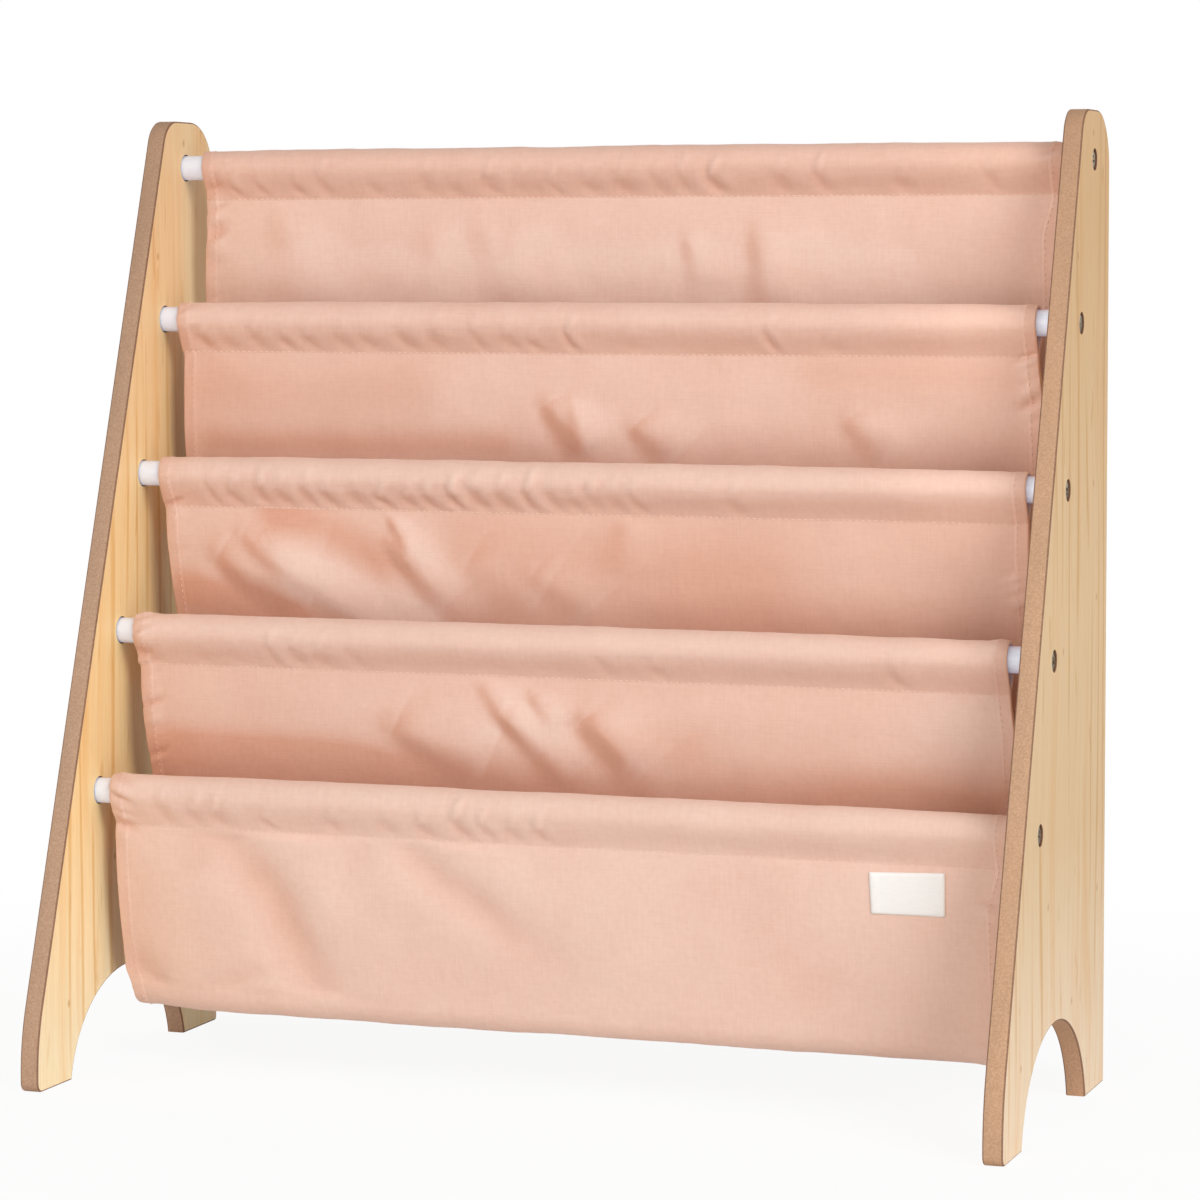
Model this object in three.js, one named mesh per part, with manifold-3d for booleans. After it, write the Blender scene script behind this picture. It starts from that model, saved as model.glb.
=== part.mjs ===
// Child's sling bookshelf: two boards, five rods bolted between them, and one cloth sling
// sewn into five sleeves and four hanging pockets. Millimetres, +Z up, the front faces -Y.
// The origin is on the floor, midway between the boards and between their front and rear edges.

import * as THREE from "three";
import { mergeVertices } from "three/addons/utils/BufferGeometryUtils.js";
import Module from "manifold-3d";

const wasm = await Module();
wasm.setup();

// Overall size
const overallWidth = 615;
const overallHeight = 600;
const panelDepth = 266;

// Side boards
const panelThickness = 12;
const panelEase = 0.8;
const rearCornerRadius = 34;
const frontCornerRadius = 20;
const kneeHeight = 31.6;
const kneeAboveToe = 4;
const toeCornerRadius = 6;
const heelCornerRadius = 2;
const archHeight = 60;
const archCentreDrop = 12;
const frontFootLength = 47;
const rearFootLength = 52;

// Row of rods, which runs parallel to the sloping front edge
const rodCount = 5;
const rodDiameter = 16;
const topRodBelowTop = 30;
const topRodFromRear = 42;
const lowestRodHeight = 176.4;
const rowToFrontEdge = 37.5;
const rodChamfer = 0.8;

// Fits
const seatGap = 0.3;
const socketClearance = 0.5;
const socketDepth = 3;
const cutOverrun = 2;

// Bolts, with a cross recess in a low domed head sunk below the board's face
const boltDiameter = 6;
const boltLength = 20;
const boltTipChamfer = 0.8;
const boltHeadDiameter = 12;
const boltHeadHeight = 3;
const boltHeadDome = 0.9;
const boltHeadSunk = 0.5;
const counterboreClearance = 0.5;
const recessLength = 6;
const recessFloorLength = 2.8;
const recessWidth = 1.3;
const recessDepth = 1.9;

// Threaded inserts, pressed into the rods' ends
const insertDiameter = 9.5;
const insertLength = 13;
const insertChamfer = 0.7;
const insertGrooveWidth = 1.6;
const insertGrooveDepth = 0.6;
const rodBoreDepth = 22;

// Sling; its turn, folds and swelling are shares of the step from one rod to the next
const slingSideGap = 11.5;
const clothThickness = 1;
const hemThickness = 1.8;
const hemWidth = 8;
const hemStep = 1;
const seamDrop = 20.5;
const sleeveSwell = 0.9;
const sleeveSwellPitch = 190;
const slingAboveFloor = 36;
const turnRadiusShare = 0.475;
const turnPlaceShare = 0.2;

// Folds of the hanging cloth: the size of the largest, and how they die away towards a seam
const foldReach = 34;
const foldWidth = 15;
const foldHeightShare = 0.134;
const foldFade = 22;
const bellyDepthShare = 0.06;
const bellyPitch = 230;

// Each fold: its place across half the sling's width, its place down the wall that shows,
// its height as a share of the largest, and its lean from straight down, to the right
const backWallFoldShares = [
  [[-0.62, 0.45, 0.5, 10], [-0.1, 0.4, 0.4, -20], [0.36, 0.5, 0.45, 15], [0.85, 0.7, 0.4, -10]],
  [[-0.67, 0.3, 0.6, 45], [-0.16, 0.8, 1, 50], [0.3, 0.6, 0.4, -15], [0.75, 0.8, 0.4, -30]],
  [[-0.89, 0.8, 1, 48], [-0.74, 0.6, 0.8, 40], [-0.45, 0.6, 0.8, 45], [0.5, 0.8, 0.45, -30]],
  [[-0.93, 0.5, 0.7, 10], [-0.34, 0.85, 1, 50], [-0.15, 0.75, 0.8, 42], [0.04, 0.85, 0.7, 35]],
];
const lowestWallFoldShares = [
  [-0.9, 0.5, 0.6, 15], [-0.5, 0.5, -1, 38], [-0.33, 0.32, 0.7, 42], [0.1, 0.6, -0.5, -25],
  [0.6, 0.75, -0.4, 30],
];

// Sewn label
const labelWidth = 46;
const labelHeight = 25;
const labelThickness = 0.8;
const labelFromEdge = 33;
const labelBelowSeam = 5;

// Fineness of the facets
const facetSag = 0.15;
const holeSides = 18;
const rodSides = 18;
const boltSides = 12;
const insertSides = 12;
const sleeveSteps = 9;
const sleeveColumns = 6;
const pocketColumns = 24;
const showingRows = 5;
const hiddenRows = 2;
const lowestWallRows = 6;
const turnRows = 4;
const labelColumns = 6;
const labelRows = 3;

const outerHalf = overallWidth / 2;
const innerHalf = outerHalf - panelThickness;
const rearY = panelDepth / 2;
const frontY = -panelDepth / 2;
const rodRadius = rodDiameter / 2;
const counterboreDepth = boltHeadSunk + boltHeadHeight + seatGap;
const rodLength = 2 * (innerHalf + socketDepth - seatGap);
const slingWidth = 2 * (innerHalf - slingSideGap);

// The front edge slopes back from the knee and passes the top rod at its own distance
const kneeToTopRod = new THREE.Vector2(
  panelDepth - topRodFromRear, overallHeight - topRodBelowTop - kneeHeight);
const rowLean = Math.atan2(kneeToTopRod.x, kneeToTopRod.y)
  - Math.asin(rowToFrontEdge / kneeToTopRod.length());
const rodRise = (overallHeight - topRodBelowTop - lowestRodHeight) / (rodCount - 1);
const rodStep = rodRise * Math.tan(rowLean);
const kneeRadius = (kneeHeight - toeCornerRadius - kneeAboveToe) / Math.tan(rowLean / 2);
const turnRadius = turnRadiusShare * rodStep;
const foldHeight = foldHeightShare * rodStep;
const bellyDepth = bellyDepthShare * rodStep;

const boardFinish = { color: 0xd9b98b, roughness: 0.55, metalness: 0 };
const rodFinish = { color: 0xf2f2f0, roughness: 0.35, metalness: 0 };
const boltFinish = { color: 0x8c8780, roughness: 0.35, metalness: 0.9 };
const insertFinish = { color: 0xb9a36a, roughness: 0.4, metalness: 0.85 };
const clothFinish = { color: 0xdfb09a, roughness: 0.8, metalness: 0 };
const labelFinish = { color: 0xf5f1e6, roughness: 0.9, metalness: 0 };

const bookshelf = new THREE.Group();
bookshelf.name = "sling_bookshelf";

function addPart(name, geometry, finish) {
  const mesh = new THREE.Mesh(geometry, new THREE.MeshStandardMaterial(finish));
  mesh.name = name;
  bookshelf.add(mesh);
  return mesh;
}

// Joining and cutting of closed meshes

function toSolid(geometry) {
  const bare = geometry.clone();
  bare.deleteAttribute("normal");
  bare.deleteAttribute("uv");
  const merged = mergeVertices(bare);
  return new wasm.Manifold(new wasm.Mesh({
    numProp: 3,
    vertProperties: new Float32Array(merged.attributes.position.array),
    triVerts: new Uint32Array(merged.index.array),
  }));
}

function toGeometry(solid) {
  const mesh = solid.getMesh();
  const geometry = new THREE.BufferGeometry();
  geometry.setAttribute("position", new THREE.BufferAttribute(mesh.vertProperties, 3));
  geometry.setIndex(new THREE.BufferAttribute(mesh.triVerts, 1));
  geometry.computeVertexNormals();
  return geometry;
}

// A plain round cutter along X, from one x to another
function roundCutter(radius, fromX, toX, y, z) {
  const cutter = new THREE.CylinderGeometry(radius, radius, Math.abs(toX - fromX), holeSides);
  cutter.rotateZ(Math.PI / 2);
  cutter.translate((fromX + toX) / 2, y, z);
  return toSolid(cutter);
}

// Rods lie on one sloping row
function rodPlace(index) {
  return {
    y: rearY - topRodFromRear - index * rodStep,
    z: overallHeight - topRodBelowTop - index * rodRise,
  };
}

const rods = Array.from({ length: rodCount }, (_, index) => rodPlace(index));

// Side board: outline in (y, z), with arcs stepped to the facets' sag

function stepsFor(radius, sweep) {
  const step = 2 * Math.acos(1 - Math.min(facetSag / radius, 1));
  return Math.max(2, Math.ceil(Math.abs(sweep) / step));
}

// The points of the arc that rounds a corner between two straight edges
function roundedCorner(before, corner, after, radius) {
  const back = before.clone().sub(corner).normalize();
  const ahead = after.clone().sub(corner).normalize();
  const half = Math.acos(back.dot(ahead)) / 2;
  const centre = corner.clone().add(back.clone().add(ahead).setLength(radius / Math.sin(half)));
  const start = corner.clone().addScaledVector(back, radius / Math.tan(half)).sub(centre);
  const end = corner.clone().addScaledVector(ahead, radius / Math.tan(half)).sub(centre);
  const sweep = Math.PI - 2 * half;
  const arc = new THREE.EllipseCurve(
    centre.x, centre.y, radius, radius, start.angle(), end.angle(), false);
  return arc.getPoints(stepsFor(radius, sweep));
}

function boardOutline() {
  const topFrontY = frontY + (overallHeight - kneeHeight) * Math.tan(rowLean);
  const heel = new THREE.Vector2(rearY, 0);
  const topRear = new THREE.Vector2(rearY, overallHeight);
  const topFront = new THREE.Vector2(topFrontY, overallHeight);
  const knee = new THREE.Vector2(frontY, kneeHeight);
  const toe = new THREE.Vector2(frontY, 0);
  const archFront = new THREE.Vector2(frontY + frontFootLength, 0);
  const archRear = new THREE.Vector2(rearY - rearFootLength, 0);

  // The arch is the part above the floor of an ellipse whose centre lies below it
  const springAngle = Math.asin(archCentreDrop / (archHeight + archCentreDrop));
  const archHalf = (archRear.x - archFront.x) / 2;
  const arch = new THREE.EllipseCurve(
    (archFront.x + archRear.x) / 2, -archCentreDrop,
    archHalf / Math.cos(springAngle), archHeight + archCentreDrop,
    Math.PI - springAngle, springAngle, true);

  return [
    ...roundedCorner(archRear, heel, topRear, heelCornerRadius),
    ...roundedCorner(heel, topRear, topFront, rearCornerRadius),
    ...roundedCorner(topRear, topFront, knee, frontCornerRadius),
    ...roundedCorner(topFront, knee, toe, kneeRadius),
    ...roundedCorner(knee, toe, archFront, toeCornerRadius),
    ...arch.getPoints(stepsFor(archHalf, Math.PI)),
  ];
}

function sideBoard(side) {
  const board = new THREE.ExtrudeGeometry(new THREE.Shape(boardOutline()), {
    depth: panelThickness - 2 * panelEase,
    bevelThickness: panelEase,
    bevelSize: panelEase,
    bevelOffset: -panelEase,
    bevelSegments: 1,
  });
  // The outline's own x and y become the shelf's y and z, and its thickness runs along x
  board.applyMatrix4(new THREE.Matrix4().makeBasis(
    new THREE.Vector3(0, 1, 0), new THREE.Vector3(0, 0, 1), new THREE.Vector3(1, 0, 0)));
  board.translate((side > 0 ? innerHalf : -outerHalf) + panelEase, 0, 0);

  let solid = toSolid(board);
  for (const { y, z } of rods) {
    const outside = side * (outerHalf + cutOverrun);
    const inside = side * (innerHalf - cutOverrun);
    const counterbore = roundCutter(boltHeadDiameter / 2 + counterboreClearance,
      outside, side * (outerHalf - counterboreDepth), y, z);
    const socket = roundCutter(rodRadius + socketClearance,
      inside, side * (innerHalf + socketDepth), y, z);
    const boltHole = roundCutter(boltDiameter / 2 + seatGap, inside, outside, y, z);
    solid = solid.subtract(counterbore).subtract(socket).subtract(boltHole);
  }
  return toGeometry(solid);
}

// Turned pieces: profiles of [radius, height] pairs, going up the outside

function turned(profile, sides) {
  return new THREE.LatheGeometry(profile.map(([r, h]) => new THREE.Vector2(r, h)), sides);
}

function rodGeometry() {
  const half = rodLength / 2;
  const boreRadius = insertDiameter / 2 + seatGap;
  const boreFloor = half - rodBoreDepth;
  return turned([
    [0, -boreFloor],
    [boreRadius, -boreFloor],
    [boreRadius, -half],
    [rodRadius - rodChamfer, -half],
    [rodRadius, rodChamfer - half],
    [rodRadius, half - rodChamfer],
    [rodRadius - rodChamfer, half],
    [boreRadius, half],
    [boreRadius, boreFloor],
    [0, boreFloor],
  ], rodSides);
}

// A grooved barrel with a plain bore for the bolt, its outer end at height zero
function insertGeometry() {
  const bore = boltDiameter / 2 + seatGap;
  const outer = insertDiameter / 2;
  const groove = outer - insertGrooveDepth;
  const grooveLow = -insertLength / 2 - insertGrooveWidth / 2;
  const grooveHigh = grooveLow + insertGrooveWidth;
  return turned([
    [bore, -insertLength],
    [outer - insertChamfer, -insertLength],
    [outer, insertChamfer - insertLength],
    [outer, grooveLow],
    [groove, grooveLow],
    [groove, grooveHigh],
    [outer, grooveHigh],
    [outer, 0],
    [bore, 0],
    [bore, -insertLength],
  ], insertSides);
}

// One tapered blade of the cross recess, its top edge above the crown of the head
function recessBlade(crown) {
  const halfTop = recessLength / 2;
  const halfFloor = recessFloorLength / 2;
  const blade = new THREE.ExtrudeGeometry(new THREE.Shape([
    new THREE.Vector2(-halfFloor, crown - recessDepth),
    new THREE.Vector2(halfFloor, crown - recessDepth),
    new THREE.Vector2(halfTop, crown),
    new THREE.Vector2(halfTop, crown + cutOverrun),
    new THREE.Vector2(-halfTop, crown + cutOverrun),
    new THREE.Vector2(-halfTop, crown),
  ]), { depth: recessWidth, bevelEnabled: false });
  blade.translate(0, 0, -recessWidth / 2);
  return blade;
}

// The underside of the head is at height zero
function boltGeometry() {
  const shank = boltDiameter / 2;
  const head = boltHeadDiameter / 2;
  const rim = boltHeadHeight - boltHeadDome;
  const shoulderShare = 0.62;
  const body = turned([
    [0, -boltLength],
    [shank - boltTipChamfer, -boltLength],
    [shank, boltTipChamfer - boltLength],
    [shank, 0],
    [head, 0],
    [head, rim],
    [head * shoulderShare, boltHeadHeight - boltHeadDome * shoulderShare ** 4],
    [0, boltHeadHeight],
  ], boltSides);
  const along = recessBlade(boltHeadHeight);
  const across = along.clone().rotateY(Math.PI / 2);
  const recess = toSolid(along).add(toSolid(across));
  return toGeometry(toSolid(body).subtract(recess));
}

// Cloth: a midline in (y, z) is swept across the width and thickened both ways

// A closed sheet between two offsets of a grid of places, columns along +X by rows
function sheetGeometry(columns, rows, placeAt) {
  const vertices = [];
  const indices = [];
  const across = columns.length;
  const down = rows.length;
  for (const face of [-1, 1]) {
    for (const row of rows) {
      for (const x of columns) {
        vertices.push(...placeAt(x, row, face));
      }
    }
  }
  const at = (face, row, column) => (face * down + row) * across + column;
  const quad = (a, b, c, d) => indices.push(a, b, c, a, c, d);
  for (let row = 0; row < down - 1; row += 1) {
    for (let column = 0; column < across - 1; column += 1) {
      quad(at(0, row, column), at(0, row, column + 1),
        at(0, row + 1, column + 1), at(0, row + 1, column));
      quad(at(1, row, column), at(1, row + 1, column),
        at(1, row + 1, column + 1), at(1, row, column + 1));
    }
  }
  for (let column = 0; column < across - 1; column += 1) {
    quad(at(0, 0, column), at(1, 0, column), at(1, 0, column + 1), at(0, 0, column + 1));
    quad(at(0, down - 1, column), at(0, down - 1, column + 1),
      at(1, down - 1, column + 1), at(1, down - 1, column));
  }
  for (let row = 0; row < down - 1; row += 1) {
    quad(at(0, row, 0), at(0, row + 1, 0), at(1, row + 1, 0), at(1, row, 0));
    quad(at(0, row, across - 1), at(1, row, across - 1),
      at(1, row + 1, across - 1), at(0, row + 1, across - 1));
  }
  const geometry = new THREE.BufferGeometry();
  geometry.setAttribute("position", new THREE.Float32BufferAttribute(vertices, 3));
  geometry.setIndex(indices);
  geometry.computeVertexNormals();
  return geometry;
}

function evenly(from, to, count) {
  return Array.from({ length: count + 1 }, (_, index) => from + (to - from) * index / count);
}

// Places across the sling, with a step in thickness where each side hem ends
function slingColumns(count) {
  const edge = slingWidth / 2;
  const hem = edge - hemWidth;
  return [-edge, -hem, ...evenly(hemStep - hem, hem - hemStep, count), hem, edge];
}

function thicknessAt(x) {
  const inHem = Math.abs(x) > slingWidth / 2 - hemWidth - hemStep / 2;
  return inHem ? hemThickness : clothThickness;
}

// The normal is the direction of travel turned a quarter: into a pocket, or towards a rod
function station(point, travel) {
  return { point, normal: new THREE.Vector2(travel.y, -travel.x) };
}

function offsetPlace(x, { point, normal }, offset) {
  return [x, point.x + normal.x * offset, point.y + normal.y * offset];
}

// Sleeve: up the front of the rod, over it, down the back, and both layers drawn together
// at the seam below it

const sleeveSweep = THREE.MathUtils.degToRad(300);
const sleeveStep = sleeveSweep / sleeveSteps;
const sleeveRadius = (rodRadius + seatGap) / Math.cos(sleeveStep / 2) + hemThickness / 2;
const layerOffset = (hemThickness + seatGap) / 2;

function sleeveGeometry(rod, phase) {
  const centre = new THREE.Vector2(rod.y, rod.z);
  const arc = evenly(-sleeveSweep / 2, sleeveSweep / 2, sleeveSteps).map((angle) => {
    const outward = new THREE.Vector2(Math.sin(angle), Math.cos(angle));
    const travel = new THREE.Vector2(outward.y, -outward.x);
    const round = station(centre.clone().addScaledVector(outward, sleeveRadius), travel);
    return { ...round, swells: true };
  });
  const frontEnd = new THREE.Vector2(rod.y - layerOffset, rod.z - seamDrop);
  const rearEnd = new THREE.Vector2(rod.y + layerOffset, rod.z - seamDrop);
  const up = new THREE.Vector2(0, 1);
  const rows = [station(frontEnd, up), ...arc, station(rearEnd, up.clone().negate())];
  // The cloth swells a little away from the rod between the places where it is drawn tight
  return sheetGeometry(slingColumns(sleeveColumns), rows, (x, row, face) => {
    const wave = Math.sin(Math.PI * (x / sleeveSwellPitch + phase)) ** 2;
    const swell = row.swells ? sleeveSwell * wave : 0;
    return offsetPlace(x, row, face * thicknessAt(x) / 2 - swell);
  });
}

// Pocket: down the back wall, round the turn, and up the front wall to the next rod

const showingDrop = rodRise - seamDrop - sleeveRadius;
const pocketBelowRod = lowestRodHeight - slingAboveFloor;

function pocketPath(index) {
  const rod = rods[index];
  const next = rods[index + 1];
  const isLowest = index === rodCount - 2;
  const seamBelow = seamDrop + seatGap;
  const frontLayer = isLowest ? -layerOffset : layerOffset;
  const backTop = new THREE.Vector2(rod.y - layerOffset, rod.z - seamBelow);
  const frontTop = new THREE.Vector2(next.y + frontLayer, next.z - seamBelow);
  const turn = new THREE.Vector2(
    THREE.MathUtils.lerp(rod.y, next.y, turnPlaceShare), next.z - pocketBelowRod + turnRadius);

  // Where a straight wall from each seam touches the turn, as an angle round its centre
  const touch = (top, side) => {
    const reach = top.clone().sub(turn);
    return reach.angle() + side * Math.acos(turnRadius / reach.length());
  };
  const backTouch = touch(backTop, -1);
  const frontTouch = touch(frontTop, 1) - 2 * Math.PI;
  const sweep = backTouch - frontTouch;
  const onTurn = (angle) => {
    const outward = new THREE.Vector2(Math.cos(angle), Math.sin(angle));
    const travel = new THREE.Vector2(outward.y, -outward.x);
    return station(turn.clone().addScaledVector(outward, turnRadius), travel);
  };
  const backEnd = onTurn(backTouch);
  const frontEnd = onTurn(frontTouch);
  const backDrop = backTop.distanceTo(backEnd.point);
  const frontDrop = frontTop.distanceTo(frontEnd.point);

  // The station a given drop below a wall's seam, still on the straight wall
  const onBack = (drop) => ({
    ...station(backTop.clone().lerp(backEnd.point, drop / backDrop),
      backEnd.point.clone().sub(backTop).normalize()),
    backFolds: drop,
  });
  const onFront = (drop) => ({
    ...station(frontTop.clone().lerp(frontEnd.point, drop / frontDrop),
      frontTop.clone().sub(frontEnd.point).normalize()),
    frontFolds: drop,
  });
  return { index, isLowest, backDrop, frontDrop, backTouch, sweep, onBack, onFront, onTurn };
}

// How far the folds carry a point of a wall, at one place across and one drop below its seam
function foldsAt(x, drop, wallDrop, folds) {
  return folds.reduce((sum, [acrossShare, dropShare, heightShare, leanDegrees]) => {
    const lean = THREE.MathUtils.degToRad(leanDegrees);
    const right = x - acrossShare * slingWidth / 2;
    const below = drop - dropShare * wallDrop;
    const along = (right * Math.sin(lean) + below * Math.cos(lean)) / foldReach;
    const beside = (right * Math.cos(lean) - below * Math.sin(lean)) / foldWidth;
    return sum + heightShare * foldHeight * Math.exp(-(along ** 2) - beside ** 2);
  }, 0);
}

// A wall swells into its pocket, so that it stays clear of the wall sewn beside it
function swellAt(x, drop, wallDrop, path) {
  const across = Math.sin(Math.PI * (x / bellyPitch + path.index / rodCount)) ** 2;
  return bellyDepth * across * Math.sin(Math.PI * Math.min(drop / wallDrop, 1)) ** 2;
}

function displacementAt(x, row, path) {
  if (row.backFolds !== undefined) {
    const fade = 1 - Math.exp(-((row.backFolds / foldFade) ** 2));
    const end = Math.cos(Math.PI / 2 * row.backFolds / path.backDrop);
    const folds = foldsAt(x, row.backFolds, showingDrop, backWallFoldShares[path.index]);
    return fade * end * folds + swellAt(x, row.backFolds, path.backDrop, path);
  }
  if (row.frontFolds !== undefined && path.isLowest) {
    const fade = 1 - Math.exp(-((row.frontFolds / foldFade) ** 2));
    const end = Math.cos(Math.PI / 2 * row.frontFolds / path.frontDrop);
    return fade * end * foldsAt(x, row.frontFolds, path.frontDrop, lowestWallFoldShares);
  }
  if (row.frontFolds !== undefined) {
    return swellAt(x, row.frontFolds, path.frontDrop, path);
  }
  return 0;
}

function pocketGeometry(path) {
  const frontRows = path.isLowest ? lowestWallRows : hiddenRows;
  const rows = [
    ...evenly(0, showingDrop, showingRows).map(path.onBack),
    ...evenly(showingDrop, path.backDrop, hiddenRows).slice(1).map(path.onBack),
    ...evenly(path.backTouch, path.backTouch - path.sweep, turnRows).slice(1, -1).map(path.onTurn),
    ...evenly(path.frontDrop, 0, frontRows).map(path.onFront),
  ];
  return sheetGeometry(slingColumns(pocketColumns), rows, (x, row, face) =>
    offsetPlace(x, row, displacementAt(x, row, path) + face * thicknessAt(x) / 2));
}

// The label lies on the outer face of the lowest front wall and follows its folds
function labelGeometry(path) {
  const right = slingWidth / 2 - labelFromEdge;
  const columns = evenly(right - labelWidth, right, labelColumns);
  const rows = evenly(labelBelowSeam + labelHeight, labelBelowSeam, labelRows).map(path.onFront);
  const outward = clothThickness / 2 + seatGap + labelThickness / 2;
  return sheetGeometry(columns, rows, (x, row, face) =>
    offsetPlace(x, row, displacementAt(x, row, path) - outward + face * labelThickness / 2));
}

// Assembly

const sides = [
  { name: "left", side: -1 },
  { name: "right", side: 1 },
];

for (const { name, side } of sides) {
  addPart(`side_panel_${name}`, sideBoard(side), boardFinish);
}

rods.forEach((rod, index) => {
  const number = index + 1;
  const bar = addPart(`rod_${number}`, rodGeometry(), rodFinish);
  bar.position.set(0, rod.y, rod.z);
  bar.rotation.z = -Math.PI / 2;

  // The turned pieces point up as made, and are laid over to point out of their side
  for (const { name, side } of sides) {
    const insert = addPart(`insert_${name}_${number}`, insertGeometry(), insertFinish);
    insert.position.set(side * rodLength / 2, rod.y, rod.z);
    insert.rotation.z = -side * Math.PI / 2;

    const bolt = addPart(`bolt_${name}_${number}`, boltGeometry(), boltFinish);
    bolt.position.set(side * (outerHalf - boltHeadSunk - boltHeadHeight), rod.y, rod.z);
    bolt.rotation.z = -side * Math.PI / 2;
  }

  addPart(`sleeve_${number}`, sleeveGeometry(rod, index / rodCount), clothFinish);
});

for (let index = 0; index < rodCount - 1; index += 1) {
  const path = pocketPath(index);
  addPart(`pocket_${index + 1}`, pocketGeometry(path), clothFinish);
  if (path.isLowest) {
    addPart("label", labelGeometry(path), labelFinish);
  }
}

export default bookshelf;
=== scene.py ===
"""Looks of a child's sling bookshelf: two laminated boards, five white rods and one cloth sling.

Lengths are written in millimetres and turned into metres where meshes are made. The front
faces -Y, +Z is up, and the origin is on the floor, midway between the boards and between
their front and rear edges.
"""

import math

import bmesh
import bpy
import numpy as np
from mathutils import Matrix, Vector


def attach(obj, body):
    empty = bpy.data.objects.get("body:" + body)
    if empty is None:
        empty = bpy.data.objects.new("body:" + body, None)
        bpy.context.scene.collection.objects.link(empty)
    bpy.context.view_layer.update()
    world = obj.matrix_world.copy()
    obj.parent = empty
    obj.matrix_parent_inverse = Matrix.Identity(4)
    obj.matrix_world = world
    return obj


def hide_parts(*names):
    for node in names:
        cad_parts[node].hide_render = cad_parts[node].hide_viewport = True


MM = 0.001

# Boards
OVERALL_WIDTH = 615
OVERALL_HEIGHT = 600
PANEL_DEPTH = 266
PANEL_THICKNESS = 12
PANEL_EASE = 0.9
REAR_CORNER_RADIUS = 34
FRONT_CORNER_RADIUS = 20
KNEE_HEIGHT = 31.6
KNEE_ABOVE_TOE = 4
TOE_CORNER_RADIUS = 6
HEEL_CORNER_RADIUS = 2
ARCH_HEIGHT = 60
ARCH_CENTRE_DROP = 12
FRONT_FOOT_LENGTH = 47
REAR_FOOT_LENGTH = 52
OUTLINE_STEP = 1.6
LAMINATE, CORE, EDGE_LINE, SHADED_BORE = range(4)

# Rods and what fixes them
ROD_COUNT = 5
ROD_RADIUS = 8
ROD_CHAMFER = 0.8
TOP_ROD_BELOW_TOP = 30
TOP_ROD_FROM_REAR = 42
LOWEST_ROD_HEIGHT = 176.4
ROW_TO_FRONT_EDGE = 37.5
SEAT_GAP = 0.3
SOCKET_RADIUS = 8.5
SOCKET_DEPTH = 3
COUNTERBORE_RADIUS = 6.5
COUNTERBORE_DEPTH = 3.8
BOLT_RADIUS = 3
BOLT_LENGTH = 20
BOLT_HEAD_RADIUS = 6
BOLT_HEAD_HEIGHT = 3
BOLT_HEAD_DOME = 0.9
BOLT_HEAD_SUNK = 0.5
INSERT_RADIUS = 4.75
ROD_BORE_DEPTH = 22
# The cross recess: half the width of its arms, and how far they reach at heights from the top
BLADE_HALF = 0.65
BLADE_REACH = ((1, 3.6), (0, 3.2), (-1.9, 1.3))

# Sling
SLING_HALF = 284
CLOTH = 0.9
HEM_CLOTH = 1.4
HEM_WIDTH = 8
SEAM_DROP = 20.5
SLEEVE_RADIUS = 9.75
POCKET_BELOW_ROD = 140.4
TURN_RADIUS = 16
TURN_PLACE = 0.2
LABEL_LEFT = 205.5
LABEL_WIDTH = 45.6
LABEL_HEIGHT = 25.3
LABEL_DROP = 4.9
LABEL_TILT = 1.6
LABEL_SKEW = 1.2
STITCH_PITCH = 4
SEAM_STITCH = 2.72
HEM_STITCH = 1.8
HEM_STITCH_IN = 1.3
THREAD_RADIUS = 0.3

OUTER = OVERALL_WIDTH / 2
INNER = OUTER - PANEL_THICKNESS
REAR = PANEL_DEPTH / 2
FRONT = -PANEL_DEPTH / 2
KNEE_TO_ROD = (PANEL_DEPTH - TOP_ROD_FROM_REAR, OVERALL_HEIGHT - TOP_ROD_BELOW_TOP - KNEE_HEIGHT)
LEAN = math.atan2(*KNEE_TO_ROD) - math.asin(ROW_TO_FRONT_EDGE / math.hypot(*KNEE_TO_ROD))
ROD_RISE = (OVERALL_HEIGHT - TOP_ROD_BELOW_TOP - LOWEST_ROD_HEIGHT) / (ROD_COUNT - 1)
KNEE_RADIUS = (KNEE_HEIGHT - TOE_CORNER_RADIUS - KNEE_ABOVE_TOE) / math.tan(LEAN / 2)
RODS = [
    (
        REAR - TOP_ROD_FROM_REAR - i * ROD_RISE * math.tan(LEAN),
        OVERALL_HEIGHT - TOP_ROD_BELOW_TOP - i * ROD_RISE,
    )
    for i in range(ROD_COUNT)
]


# Materials


def fill_socket(tree, socket, value):
    """Links another node's output to the socket, or gives the socket a value."""
    if isinstance(value, bpy.types.NodeSocket):
        tree.links.new(value, socket)
    else:
        socket.default_value = value


def add_node(tree, kind, settings=None, **values):
    """A new node. A value's key is the socket's name, with _ for a space, or _ and its number."""
    made = tree.nodes.new("ShaderNode" + kind)
    for key, value in (settings or {}).items():
        setattr(made, key, value)
    for key, value in values.items():
        socket = int(key[1:]) if key[1:].isdigit() else key.replace("_", " ")
        fill_socket(tree, made.inputs[socket], value)
    return made


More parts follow.
